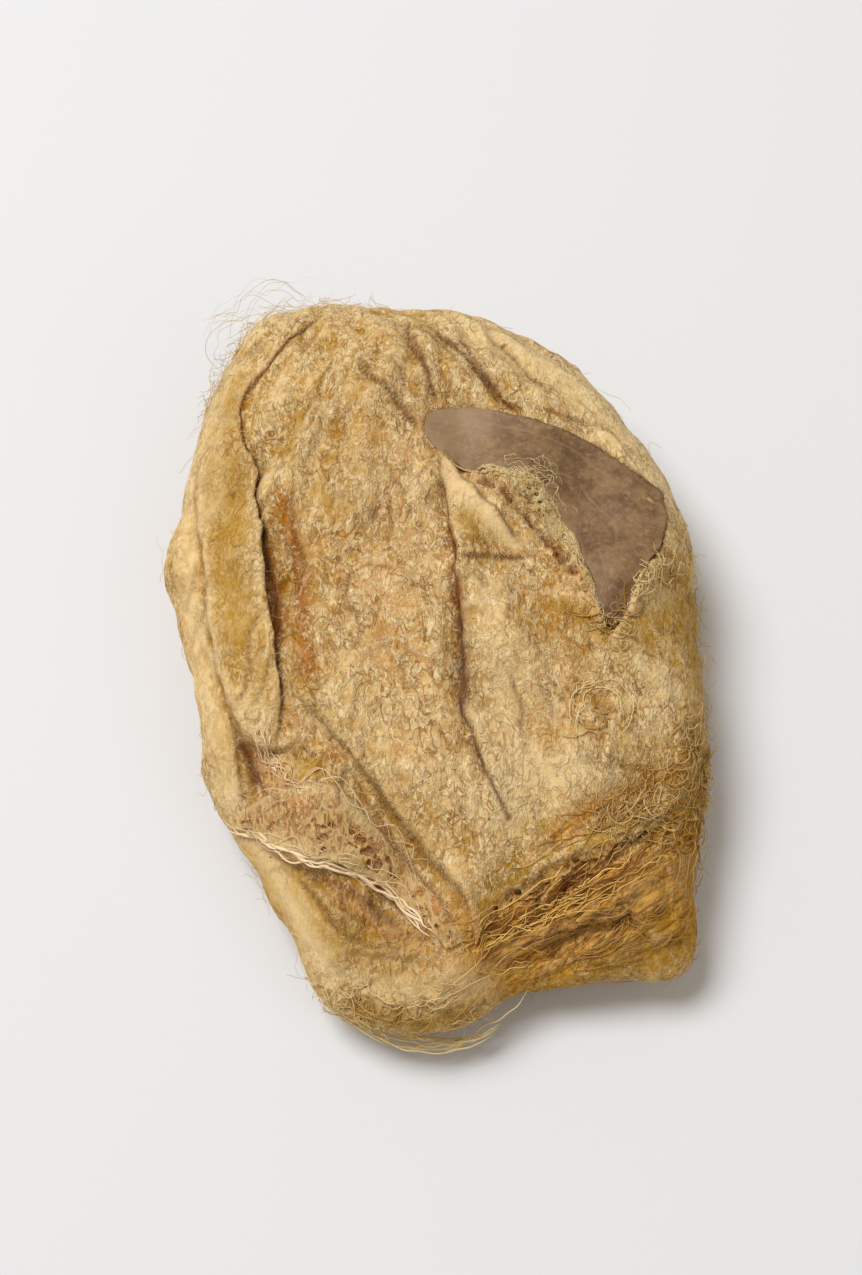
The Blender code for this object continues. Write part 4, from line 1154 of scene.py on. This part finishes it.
def fibreTree():
    sizes = ("Per Square Metre", "Length", "Length Spread", "Heading", "Heading Spread", "Wander",
             "Wander Size", "Turns", "Turn Size", "Lift", "Weave", "Rise", "Curl", "Curl Size",
             "Radius")
    tree, add, given = newGroup("silk fibres", "GeometryNodeTree", {
        "Geometry": "Geometry", "Where": "String", **{name: "Float" for name in sizes},
        "Points": "Int", "Seed": "Int", "Material": "Material"})
    # chances of each thread: its tone, its spring, its heading and its length
    chances = []
    for number, low in ((1.0, 0.0), (2.0, 0.0), (3.0, -1.0), (4.0, -1.0)):
        seed = add("plus", [given["Seed"], number])
        chances.append(add("FunctionNodeRandomValue", {2: low, 3: 1.0, "Seed": seed},
                           data_type="FLOAT").outputs[1])
    where = add("named", {"Name": given["Where"]})
    density = add("times", [given["Per Square Metre"], where])
    roots = add("GeometryNodeDistributePointsOnFaces", {
        "Mesh": given["Geometry"], "Seed": given["Seed"], "Density": density})
    for name, chance in zip(("tone", "spring"), chances):
        roots = add("store", {"Geometry": roots, "Name": name, "Value": chance}, domain="POINT")
    straight = add("GeometryNodeCurvePrimitiveLine", {
        "Start": (-0.5, 0.0, 0.0), "End": (0.5, 0.0, 0.0)})
    straight = add("GeometryNodeResampleCurve", {"Curve": straight, "Count": given["Points"]})
    turn = add("timesPlus", [chances[2], given["Heading Spread"], given["Heading"]])
    turn = add("ShaderNodeCombineXYZ", {2: turn})
    longer = add("timesPlus", [chances[3], given["Length Spread"], 1.0])
    longer = add("times", [given["Length"], longer])
    laid = add("GeometryNodeInstanceOnPoints", {
        "Points": roots, "Instance": straight, "Scale": longer,
        "Rotation": add("FunctionNodeEulerToRotation", [turn])})
    threads = add("GeometryNodeRealizeInstances", [laid])
    tone, spring = (add("named", {"Name": name}) for name in ("tone", "spring"))
    # each thread has its own place in the noises
    own = add("ShaderNodeCombineXYZ", [
        add("times", [share, apart]) for share, apart in ((tone, 31.0), (spring, 47.0))])
    place = add("GeometryNodeInputPosition")
    far = add("GeometryNodeSplineParameter").outputs["Factor"]
    # every point goes onto the silk, and off it by its lift, its weave and its rise
    weaveSize = 0.8 * mm
    nearest, normal = (
        add("GeometryNodeSampleNearestSurface", {
            "Mesh": given["Geometry"], "Value": value, "Sample Position": place},
            data_type="FLOAT_VECTOR")
        for value in (place, add("GeometryNodeInputNormal")))
    weave = add("vectorScale", {0: place, "Scale": 1 / weaveSize})
    weave = add("vectorPlus", [weave, own])
    weave = add("noise", {"Vector": weave, "Scale": 1.0, "Detail": 0.0})
    weave = add("minus", [weave, 0.5])
    woven = add("times", [given["Weave"], 3.0])
    dip = add("times", [weave, woven])
    risen = add("power", [far, 1.6])
    risen = add("times", [given["Rise"], risen])
    springy = add("timesPlus", [spring, 0.8, 0.2])
    risen = add("times", [risen, springy])
    off = add("timesPlus", [given["Lift"], spring, dip])
    off = add("plus", [off, risen])
    stood = add("vectorScale", {0: normal, "Scale": off})
    stood = add("vectorPlus", [nearest, stood])
    curl = add("timesPlus", [far, 0.8, 0.2])
    curl = add("times", [given["Curl"], curl])
    # smooth random offsets: where a thread wanders before that, and how it curls after it
    strays = []
    for at, size, amount in ((place, given["Wander Size"], given["Wander"]),
                             (stood, given["Curl Size"], curl)):
        finer = add("over", [1.0, size])
        spread = add("vectorScale", {0: at, "Scale": finer})
        spread = add("vectorPlus", [spread, own])
        noise = add("noise", {"Vector": spread, "Scale": 1.0, "Detail": 1.0})
        centred = add("vectorMinus", [noise.outputs["Color"], (0.5, 0.5, 0.5)])
        amount = add("times", [amount, 2.6])
        strays.append(add("vectorScale", {0: centred, "Scale": amount}))
    # the larva lays its thread in loops
    fullTurn = 6.2832
    swing = add("timesPlus", [far, given["Turns"], spring])
    swing = add("times", [swing, fullTurn])
    wide = add("plus", [tone, 0.4])
    wide = add("times", [given["Turn Size"], wide])
    loop = add("ShaderNodeCombineXYZ", [
        add("ShaderNodeMath", [swing], operation=way) for way in ("COSINE", "SINE")])
    loop = add("vectorScale", {0: loop, "Scale": wide})
    loop = add("vectorPlus", [loop, strays[0]])
    wandered = add("setPlace", {"Geometry": threads, "Offset": loop})
    curled = add("vectorPlus", [stood, strays[1]])
    least = add("times", [given["Radius"], 1.2])
    hugging = add("setPlace", {"Geometry": wandered, "Position": aboveFloor(add, curled, least)})
    # both ends taper
    ends = add("minus", [1.0, far])
    ends = add("times", [far, ends])
    ends = add("times", [ends, 4.0])
    thick = add("power", [ends, 0.35])
    thick = add("timesPlus", [thick, 0.75, 0.25])
    thick = add("times", [given["Radius"], thick])
    makeTubes(add, hugging, 3, thick, given["Material"])
    return tree


paleThread = fibreMaterial("pale silk thread", zones, "#B88A30", "#F4E0A8", 0.5)
goldThread = fibreMaterial("gummed golden silk thread", zones, "#AC6C08", "#F2CA70", 0.42)
webThread = fibreMaterial("web of fine silk", zones, "#C89050", "#FAE2BA", 0.45)
faceThread = fibreMaterial("wild silk thread in the matting", zones, "#CCA45C", "#F0DEB0", 0.6)
perSquareMm = 1e6
# real threads are about 0.03 mm thick and cover the whole shell: these are fewer and a little
# thicker, so that single ones show; a tangle of several is one thicker thread
matted = {
    "Length": 1.9 * mm, "Length Spread": 0.4, "Heading": 1.5, "Heading Spread": 1.8,
    "Wander": 0.30 * mm, "Wander Size": 0.9 * mm, "Turns": 0.6, "Turn Size": 0.24 * mm,
    "Lift": -0.005 * mm, "Weave": 0.028 * mm, "Rise": 0.0, "Curl": 0.01 * mm,
    "Curl Size": 0.5 * mm, "Radius": 0.024 * mm, "Points": 9, "Material": faceThread,
}
fibreSets = {
    "matted_threads_front": {**matted, "Where": "matFront", "Seed": 3,
                             "Per Square Metre": 0.9 * perSquareMm},
    "matted_threads_back": {**matted, "Where": "matBack", "Seed": 5,
                            "Per Square Metre": 0.8 * perSquareMm},
    "torn_mouth_floss": {
        "Where": "fray", "Seed": 8, "Per Square Metre": 1.1 * perSquareMm,
        "Length": 4.2 * mm, "Length Spread": 0.6, "Heading": 0.61, "Heading Spread": 0.35,
        "Wander": 0.5 * mm, "Wander Size": 1.8 * mm, "Turns": 0.8, "Turn Size": 0.28 * mm,
        "Lift": 0.16 * mm, "Weave": 0.10 * mm, "Rise": 0.30 * mm, "Curl": 0.15 * mm,
        "Curl Size": 1.2 * mm, "Radius": 0.042 * mm, "Points": 14, "Material": goldThread},
    "curly_floss": {
        "Where": "curls", "Seed": 9, "Per Square Metre": 3.4 * perSquareMm,
        "Length": 2.6 * mm, "Length Spread": 0.6, "Heading": 0.4, "Heading Spread": 1.4,
        "Wander": 0.5 * mm, "Wander Size": 1.3 * mm, "Turns": 1.3, "Turn Size": 0.42 * mm,
        "Lift": 0.16 * mm, "Weave": 0.12 * mm, "Rise": 0.5 * mm, "Curl": 0.25 * mm,
        "Curl Size": 0.9 * mm, "Radius": 0.05 * mm, "Points": 16, "Material": paleThread},
    "rim_fuzz": {
        "Where": "rim", "Seed": 13, "Per Square Metre": 2.0 * perSquareMm,
        "Length": 2.8 * mm, "Length Spread": 0.6, "Heading": 0.0, "Heading Spread": 3.14,
        "Wander": 0.6 * mm, "Wander Size": 1.2 * mm, "Turns": 0.9, "Turn Size": 0.35 * mm,
        "Lift": 0.05 * mm, "Weave": 0.04 * mm, "Rise": 1.2 * mm, "Curl": 0.5 * mm,
        "Curl Size": 1.1 * mm, "Radius": 0.020 * mm, "Points": 12, "Material": paleThread},
    "web_threads": {
        "Where": "onWeb", "Seed": 21, "Per Square Metre": 4.0 * perSquareMm,
        "Length": 2.8 * mm, "Length Spread": 0.5, "Heading": -0.75, "Heading Spread": 0.6,
        "Wander": 0.40 * mm, "Wander Size": 1.3 * mm, "Turns": 0.4, "Turn Size": 0.15 * mm,
        "Lift": 0.05 * mm, "Weave": 0.05 * mm, "Rise": 0.05 * mm, "Curl": 0.05 * mm,
        "Curl Size": 0.7 * mm, "Radius": 0.042 * mm, "Points": 9, "Material": webThread},
}


def readZone(mesh, name):
    values = np.zeros(len(mesh.vertices), np.float32)
    mesh.attributes[name].data.foreach_get("value", values)
    return values


def splitFrontFromBack():
    # the same covering for each side, so that neither piece grows too large
    mesh = silkShell.data
    normals = np.zeros(len(mesh.vertices) * 3, np.float32)
    mesh.vertex_normals.foreach_get("vector", normals)
    upward = smoothStep((normals[2::3] + 0.25) / 0.3)
    body = 1 - readZone(mesh, "underLeaf")
    body *= 1 - 0.75 * readZone(mesh, "smooth")
    addZones(mesh, {"matFront": body * upward, "matBack": body * (1 - upward)})


splitFrontFromBack()


# thin torn layers of silk that stand off the shell, with holes between their threads

laceSheets = {
    "mouth_web": {
        "upper": ((-13.6, -14.0), (-11.4, -13.2), (-8.9, -13.2), (-6.3, -14.0), (-4.2, -15.8),
                  (-1.7, -18.2), (0.5, -21.2), (2.0, -23.6)),
        "lower": ((-14.0, -14.6), (-12.2, -15.7), (-10.4, -16.7), (-8.2, -17.9), (-4.9, -18.9),
                  (-3.1, -19.8), (-0.9, -22.0), (0.9, -24.3)),
        "lift": (0.02, 0.12, 0.26, 0.42), "holes": (0.10, 0.40, 0.50, 0.35, 0.05),
        "holeSize": 0.62 * mm, "ragged": 0.16 * mm, "seed": 51,
        "zones": {"rosy": 0.75, "pale": (0.85, 0.4, 0.1, 0.2, 0.6), "ochre": 0.25,
                  "amber": (0.2, 0.35, 0.4, 0.3, 0.0), "umber": 0.0, "smooth": 0.6,
                  "net": (0.2, 0.5, 0.65, 0.5, 0.2)},
        "onWeb": 1.0},
    "torn_layer": {
        "upper": ((2.6, -21.6), (4.4, -19.3), (7.6, -17.4), (11.0, -15.6), (14.2, -13.8), (17.0, -11.4),
                  (17.6, -9.0)),
        "lower": ((2.7, -23.6), (5.0, -21.0), (8.1, -19.2), (11.4, -17.7), (14.6, -16.4), (18.0, -14.2),
                  (20.0, -10.4)),
        "lift": (-0.06, 0.05, 0.22, 0.40), "holes": (0.0, 0.03, 0.12, 0.30, 0.55),
        "holeSize": 0.7 * mm, "ragged": 0.6 * mm, "seed": 57,
        "zones": {"ochre": 0.9, "pale": 0.0, "net": (0.0, 0.1, 0.3, 0.5)}, "onWeb": 0.3},
    "leaf_net": {
        "upper": ((0.6, 11.3), (2.6, 10.5), (5.4, 9.7), (7.9, 9.2), (9.6, 7.0), (10.4, 4.4),
                  (11.2, 1.2), (12.0, -2.2)),
        "lower": ((0.9, 10.8), (2.4, 9.7), (4.3, 8.7), (6.2, 7.1), (8.2, 5.0), (9.8, 2.8), (10.8, 0.4),
                  (11.8, -2.4)),
        "lift": (0.05, 0.14, 0.16, 0.10), "holes": (0.15, 0.25, 0.35, 0.45, 0.65),
        "holeSize": 0.42 * mm, "ragged": 0.25 * mm, "seed": 63,
        "zones": {"pale": (0.8, 0.6, 0.4, 0.3), "ochre": (0.0, 0.1, 0.3, 0.4), "umber": 0.0,
                  "net": (0.1, 0.2, 0.3, 0.4)}, "onWeb": 0.7},
}

silkTree = BVHTree.FromPolygons([v.co for v in silkShell.data.vertices],
                                [list(p.vertices) for p in silkShell.data.polygons])


def silkHeight(places):
    # height of the front of the shell at each place, or of its nearest point past the rim
    overTheTop, nearTheRim = 30 * mm, 6 * mm
    heights = []
    for x, y in places:
        hit = silkTree.ray_cast(Vector((x, y, overTheTop)), Vector((0, 0, -1)))[0]
        if hit is None:
            hit = silkTree.find_nearest(Vector((x, y, nearTheRim)))[0]
        heights.append(hit.z)
    return np.array(heights)


laceCrumple = {"Wrinkle Height": 0.10 * mm, "Crackle Height": 0.05 * mm,
               "Matting Height": 0.04 * mm}
# how a torn layer is cut and bent
lace = {
    "cell": 0.13 * mm, "quickCell": 0.26 * mm, "thickness": 0.05 * mm,
    "buckle": 0.18 * mm, "buckleSize": 1.8 * mm,
    # sizes of its torn edge's teeth, and how far each goes, as a share of the layer's "ragged"
    "strays": ((0.9 * mm, 1.0), (0.35 * mm, 0.6)),
    "threadShare": 0.20,         # width of the threads between two holes, for holes of size 1
    "holeStray": 0.25, "holeStraySize": 0.5 * mm,
    "bridged": 12,               # rounds of smoothing: it bridges the shell's small folds
    # the copied strokes hold painted shade as well as stains
    "zoneShare": 0.9,            # of the shell's stains where the layer has none of its own
}


def byShare(share, steps):
    # evenly spaced steps from the upper edge to the lower one
    steps = np.atleast_1d(steps)
    return np.interp(share, np.linspace(0, 1, len(steps)), steps)


def laceHoles(middles, across, spec):
    # cells around scattered centres stay open, and the threads run between them
    size, seed = spec["holeSize"], spec["seed"]
    spot = middles + lace["holeStray"] * size * softStray(middles, lace["holeStraySize"], seed + 3)
    low, high = spec["box"]
    number = int(np.prod(high - low) / size ** 2)
    rng = np.random.default_rng(seed)
    centres = rng.uniform(low, high, (number, 2))
    openness = rng.uniform(0, 1, number)
    apart = np.linalg.norm(spot[:, None] - centres[None], axis=2)
    nearest = apart.argsort(axis=1)[:, :2]
    first, second = np.take_along_axis(apart, nearest, axis=1).T
    chance = byShare(across, spec["holes"])
    return (openness[nearest[:, 0]] < chance) & (second - first > lace["threadShare"] * size)


def laceSheet(name, spec):
    cell = lace["cell"]
    seed = spec["seed"]
    length = lengthAlong(inMm(spec["upper"]))[-1]
    upper, lower = (evenly(smoothCurve(inMm(spec[edge])), int(length / cell))
                    for edge in ("upper", "lower"))
    wide = np.linalg.norm(upper - lower, axis=1)
    share = np.linspace(0, 1, int(wide.max() / cell) + 1)
    places = upper[:, None] * (1 - share[None, :, None]) + lower[:, None] * share[None, :, None]
    # the torn edge strays in and out
    out = (lower - upper) / wide[:, None]
    stray = sum(part * softNoise(lower, size, seed + number)
                for number, (size, part) in enumerate(lace["strays"]))
    places += (out * (stray * spec["ragged"])[:, None])[:, None] * share[None, :, None] ** 2
    shape = places.shape[:2]
    flat = places.reshape(-1, 2)
    height = smoothed(silkHeight(flat + shift[:2]).reshape(shape), lace["bridged"])
    buckle = lace["buckle"] * softNoise(flat, lace["buckleSize"], seed + 2).reshape(shape)
    height = height + byShare(share, spec["lift"])[None] * mm + buckle * share[None]
    middles = ((places[:-1, :-1] + places[1:, 1:]) / 2).reshape(-1, 2)
    across = np.tile((share[:-1] + share[1:]) / 2, shape[0] - 1)
    gone = laceHoles(middles, across, {**spec, "box": (flat.min(axis=0), flat.max(axis=0))})
    index = np.arange(len(flat)).reshape(shape)
    used, faces = np.unique(quads(index)[~gone][:, [0, 3, 2, 1]], return_inverse=True)
    points = np.column_stack([flat + shift[:2], height.ravel()])[used]
    across = np.tile(share, shape[0])[used]
    zonesHere = {zone: byShare(across, spec["zones"][zone]) if zone in spec["zones"]
                 else lace["zoneShare"] * strokes(flat[used], frontStrokes[zone])
                 for zone in ("pale", "ochre", "umber", "amber", "rosy", "net", "smooth", "fray")}
    zonesHere["onWeb"] = np.full(len(used), spec["onWeb"])
    piece = addMesh(name, points, faces.reshape(-1, 4).tolist(), zonesHere)
    rounded = piece.modifiers.new("rounded holes", "SMOOTH")
    rounded.factor, rounded.iterations = 0.5, 3
    becomeMesh(piece)
    growFrom(piece, crumpled, laceCrumple)
    piece.data.materials.append(silk)
    return piece


lacePieces = [laceSheet(name, spec) for name, spec in laceSheets.items()]
print("thin torn layers:", sum(len(p.data.polygons) for p in lacePieces), "faces")

fibres = fibreTree()
fibrePieces = []


def trianglesIn(pieces):
    return sum(len(p.vertices) - 2 for piece in pieces for p in piece.data.polygons)


def growFibres(name, values, ground):
    piece = growFrom(addPiece(name, ground.copy()), fibres, values)
    print(name, trianglesIn([piece]), "triangles")
    return piece


for name, values in fibreSets.items():
    if values["Where"] == "onWeb":
        fibrePieces += [growFibres(name + "_" + piece.name, values, piece.data)
                        for piece in lacePieces]
    else:
        fibrePieces.append(growFibres(name, values, silkShell.data))

for piece in lacePieces:     # the layers get their thickness after the threads have used them
    wall = piece.modifiers.new("thickness", "SOLIDIFY")
    wall.thickness, wall.offset = lace["thickness"], 0.0
    becomeMesh(piece)


# threads laid one by one: paths in mm, with a height of their own where the third number is given

strandSets = {
    "web_edge_cord": {
        "path": ((-14.9, -14.2), (-13.4, -14.9), (-12.0, -15.7), (-10.4, -16.7), (-8.2, -17.9),
                 (-4.9, -18.9), (-3.1, -19.8), (-1.4, -21.4), (0.3, -23.4)),
        "count": 7, "spread": 0.20, "fan": 1.0, "twist": 0.15, "turns": 3.5, "stray": 0.34,
        "lift": 0.14, "radius": 0.115, "trim": 0.40, "tones": (0.9, 1.0), "seed": 70,
        "material": "web"},
    "web_edge_threads": {
        "path": ((-14.6, -13.9), (-13.4, -14.9), (-12.0, -15.7), (-10.4, -16.7), (-8.2, -17.9),
                 (-4.9, -18.9), (-3.1, -19.8), (-0.9, -22.0), (1.0, -24.4)),
        "count": 8, "spread": 0.5, "fan": 0.5, "twist": 0.20, "turns": 3.0, "stray": 0.6,
        "lift": 0.30, "radius": 0.030, "trim": 0.9, "tones": (0.6, 1.0), "seed": 71,
        "material": "web"},
    "web_upper_threads": {
        "path": ((-12.6, -14.2), (-11.2, -13.5), (-8.9, -13.2), (-6.3, -14.0), (-4.2, -15.8),
                 (-1.7, -18.2), (0.5, -21.2), (2.1, -23.2)),
        "count": 5, "spread": 1.1, "fan": 0.8, "twist": 0.15, "turns": 2.0, "stray": 1.2,
        "lift": 0.03, "radius": 0.030, "trim": 1.1, "tones": (0.5, 1.0), "seed": 72,
        "material": "web"},
    "strap_threads": {
        "path": ((-12.4, -8.6), (-11.6, -10.2), (-10.6, -11.6), (-9.2, -13.2), (-7.6, -14.4)),
        "count": 11, "spread": 0.6, "fan": 0.7, "twist": 0.10, "turns": 1.2, "stray": 0.4,
        "lift": 0.10, "radius": 0.040, "trim": 0.8, "tones": (0.5, 1.0), "seed": 76,
        "material": "web"},
    "mouth_bundle_upper": {
        "path": ((2.4, -24.0), (5.9, -21.6), (9.1, -19.8), (11.5, -18.4), (14.4, -16.4)),
        "count": 9, "spread": 0.9, "fan": 0.2, "twist": 0.10, "turns": 1.0, "stray": 0.30,
        "lift": 0.10, "radius": 0.040, "trim": 1.1, "tones": (0.6, 1.0), "seed": 73,
        "material": "gold"},
    "mouth_bundle_middle": {
        "path": ((2.6, -24.2), (6.6, -22.0), (10.2, -20.6), (12.7, -19.4), (15.4, -17.6)),
        "count": 12, "spread": 1.2, "fan": 0.2, "twist": 0.10, "turns": 1.0, "stray": 0.35,
        "lift": 0.10, "radius": 0.046, "trim": 1.1, "tones": (0.7, 1.0), "seed": 74,
        "material": "gold"},
    "mouth_threads": {
        "path": ((2.4, -24.4), (4.4, -22.8), (7.4, -21.0), (10.6, -19.3), (13.2, -17.6), (16.0, -15.4)),
        "count": 22, "spread": 2.6, "fan": 0.1, "twist": 0.15, "turns": 1.0, "stray": 0.7,
        "lift": 0.10, "radius": 0.030, "trim": 1.2, "tones": (0.5, 1.0), "seed": 77,
        "material": "gold"},
    "hem_threads": {
        "path": ((2.8, -24.9), (5.4, -24.2), (8.4, -23.0), (11.0, -22.2), (14.6, -21.8)),
        "count": 8, "spread": 1.1, "fan": 0.2, "twist": 0.1, "turns": 1.0, "stray": 0.6,
        "lift": 0.04, "radius": 0.030, "trim": 1.2, "tones": (0.2, 0.9), "seed": 79,
        "material": "gold"},
    "lip_loops": {
        "path": ((-7.2, -25.4, 3.6), (-5.0, -27.5, 2.8), (-1.6, -28.8, 2.2), (1.8, -28.8, 2.2),
                 (4.6, -27.4, 2.6), (6.2, -25.4, 3.9)),
        "count": 7, "spread": 0.45, "fan": 1.0, "twist": 0.12, "turns": 1.0, "stray": 0.35,
        "lift": 0.0, "radius": 0.055, "trim": 0.35, "tones": (0.6, 1.0), "seed": 83,
        "material": "pale"},
    "loose_curl": {
        "path": ((10.8, -10.8), (9.8, -9.2), (9.8, -7.6), (10.7, -6.6), (11.9, -6.4), (12.8, -7.3),
                 (12.7, -8.8), (11.8, -9.6)),
        "count": 8, "spread": 0.42, "fan": 1.0, "twist": 0.14, "turns": 1.6, "stray": 0.55,
        "lift": 0.10, "radius": 0.034, "trim": 0.9, "tones": (0.7, 1.0), "seed": 89,
        "material": "pale"},
    "leaf_net_threads": {
        "path": ((5.2, 9.2), (6.8, 9.3), (8.4, 8.4), (9.2, 6.8), (9.4, 5.0)),
        "count": 34, "spread": 0.9, "fan": 1.0, "twist": 0.12, "turns": 1.4, "stray": 0.8,
        "lift": 0.06, "radius": 0.016, "trim": 1.2, "tones": (0.7, 1.0), "seed": 85,
        "material": "pale"},
    "hairs_far_end": {
        "path": ((-15.4, 20.6, 8.0), (-16.8, 23.6, 8.8), (-14.4, 26.8, 9.2), (-10.8, 28.6, 8.6),
                 (-7.4, 28.2, 7.6)),
        "count": 9, "spread": 0.9, "fan": 1.0, "twist": 0.6, "turns": 2.5, "stray": 0.7,
        "lift": 0.0, "radius": 0.016, "trim": 0.75, "tones": (0.1, 0.6), "seed": 87,
        "material": "pale"},
}


def threadTree():
    # tubes along loose edges, as thick as each point says
    tree, add, given = newGroup("laid threads", "GeometryNodeTree", {
        "Geometry": "Geometry", "Radius": "Float", "Material": "Material"})
    curves = add("GeometryNodeMeshToCurve", [given["Geometry"]])
    thick = add("named", {"Name": "thick"})
    thick = add("times", [thick, given["Radius"]])
    makeTubes(add, curves, 5, thick, given["Material"])
    return tree


laidTree = threadTree()
threadFinishes = {"web": webThread, "gold": goldThread, "pale": paleThread}
strandPoints, pathPoints = 60, 200
bridged = 6                  # points to each side whose mean height a strand follows over dips
lowest = 0.1 * mm            # above the surface that the cocoon lies on


def layStrands(name, spec):
    rng = np.random.default_rng(spec["seed"])
    count, seed = strandPoints, spec["seed"]
    path = evenly(smoothCurve(inMm(spec["path"])), pathPoints)
    steps, ways = np.arange(len(path)), directions(path[:, :2])
    ends = np.linspace(0, 1, count)
    taper = np.minimum(1, 8 * np.minimum(ends, ends[::-1]) + 0.3)
    points, edges, tones, thick = [], [], [], []
    for strand in range(spec["count"]):
        wave = rng.uniform(0.6, 1.5)
        start = rng.uniform(0, spec["trim"] * 0.5)
        t = np.linspace(start, 1 - rng.uniform(0, spec["trim"]), count)
        at = t * (len(path) - 1)
        base, way = placedAt(at, steps, path), placedAt(at, steps, ways)
        side = np.column_stack([-way[:, 1], way[:, 0]])
        # strands start together where fan is small, and spread out along the way
        width = spec["spread"] * (spec["fan"] + (1 - spec["fan"]) * t)
        phase, place = rng.uniform(0, 2 * np.pi), rng.uniform(-1, 1)
        turn = 2 * np.pi * spec["turns"] * t + phase
        lane = np.column_stack([t * 9 * wave, np.full(count, strand * 1.7)])
        drift = softNoise(lane, 1.0, seed) + 0.4 * softNoise(lane * 2.6, 1.0, seed + 2)
        rock = softNoise(lane, 1.0, seed + 1)
        offset = mm * (place * width + spec["twist"] * np.cos(turn) + spec["stray"] * drift)
        flat = base[:, :2] + side * offset[:, None] + shift[:2]
        up = mm * (spec["twist"] * np.sin(turn) + 0.6 * spec["stray"] * rock)
        if path.shape[1] == 3:
            height = base[:, 2] + up
        else:
            height = np.pad(silkHeight(flat), bridged, mode="edge")
            window = 2 * bridged + 1
            height = np.convolve(height, np.ones(window) / window, mode="valid")
            height = height + spec["lift"] * mm * rng.uniform(0.4, 1.2) + np.abs(up)
        points.append(np.column_stack([flat, np.maximum(height, lowest)]))
        edges.extend((strand * count + k, strand * count + k + 1) for k in range(count - 1))
        tones.append(np.clip(rng.uniform(*spec["tones"]) + 0.3 * rock, 0, 1))
        thick.append(taper * rng.uniform(0.6, 1.2) * (1 + 0.3 * np.clip(drift, -1, 1)))
    mesh = bpy.data.meshes.new(name)
    mesh.from_pydata(np.concatenate(points).tolist(), edges, [])
    addZones(mesh, {"tone": np.concatenate(tones), "thick": np.concatenate(thick)})
    return growFrom(addPiece(name, mesh), laidTree, {
        "Radius": spec["radius"] * mm, "Material": threadFinishes[spec["material"]]})


strandPieces = [layStrands(name, spec) for name, spec in strandSets.items()]
print("laid threads made")
silkPieces = [silkShell] + lacePieces + fibrePieces + strandPieces
print("all pieces:", trianglesIn(silkPieces + [leaf]), "triangles")


# what each piece stands for

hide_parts("cocoon_shell")
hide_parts("leaf_scrap")
for piece in silkPieces + [leaf]:
    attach(piece, "root")


# floor, light and camera

studio = {
    "floorSize": 3.0, "floorColour": "#E4E6EA",
    "skyColour": "#FFF3E2", "skyStrength": 0.36,
    "keyPlace": (-0.27, 0.14, 0.60), "keySize": 0.36, "keyPower": 3.65,
    "fillPlace": (0.45, -0.35, 0.45), "fillSize": 0.6, "fillPower": 0.4,
    "lookAt": (0.0, 0.0, 7.0 * mm), "elevation": 64.0, "distance": 154.0 * mm,
    "lens": 61.0, "sensor": 36.0, "nearest": 0.01,
}


def addLight(name, place, size, power):
    made = bpy.data.lights.new(name, "AREA")
    made.shape, made.size, made.energy = "DISK", size, power
    lamp = addPiece(name, made)
    lamp.location = place
    lamp.rotation_euler = (Vector(studio["lookAt"]) - Vector(place)).to_track_quat(
        "-Z", "Y").to_euler()


def setStudio():
    scene = bpy.context.scene
    half = studio["floorSize"] / 2
    corners = np.array([(-half, -half, 0), (half, -half, 0), (half, half, 0), (-half, half, 0)])
    floor = addMesh("floor", corners, [[0, 1, 2, 3]], {})
    floor.data.materials.append(newMaterial("plain pale floor", {
        "Base Color": linearColour(studio["floorColour"]), "Roughness": 0.9})[0])
    world = bpy.data.worlds.new("studio")
    world.use_nodes = True
    feed(world.node_tree.nodes["Background"], {
        "Color": linearColour(studio["skyColour"]), "Strength": studio["skyStrength"]})
    scene.world = world
    for name in ("key", "fill"):
        addLight(name, *(studio[name + part] for part in ("Place", "Size", "Power")))
    scene.view_settings.view_transform = "Standard"
    lens = bpy.data.cameras.new("camera")
    lens.lens, lens.sensor_width = studio["lens"], studio["sensor"]
    lens.clip_start = studio["nearest"]
    camera = addPiece("camera", lens)
    up = np.radians(studio["elevation"])
    away = Vector((0, -np.cos(up), np.sin(up))) * studio["distance"]
    camera.location = Vector(studio["lookAt"]) + away
    camera.rotation_euler = (-away).to_track_quat("-Z", "Y").to_euler()
    scene.camera = camera


setStudio()
bpy.context.view_layer.update()
print("stage set")
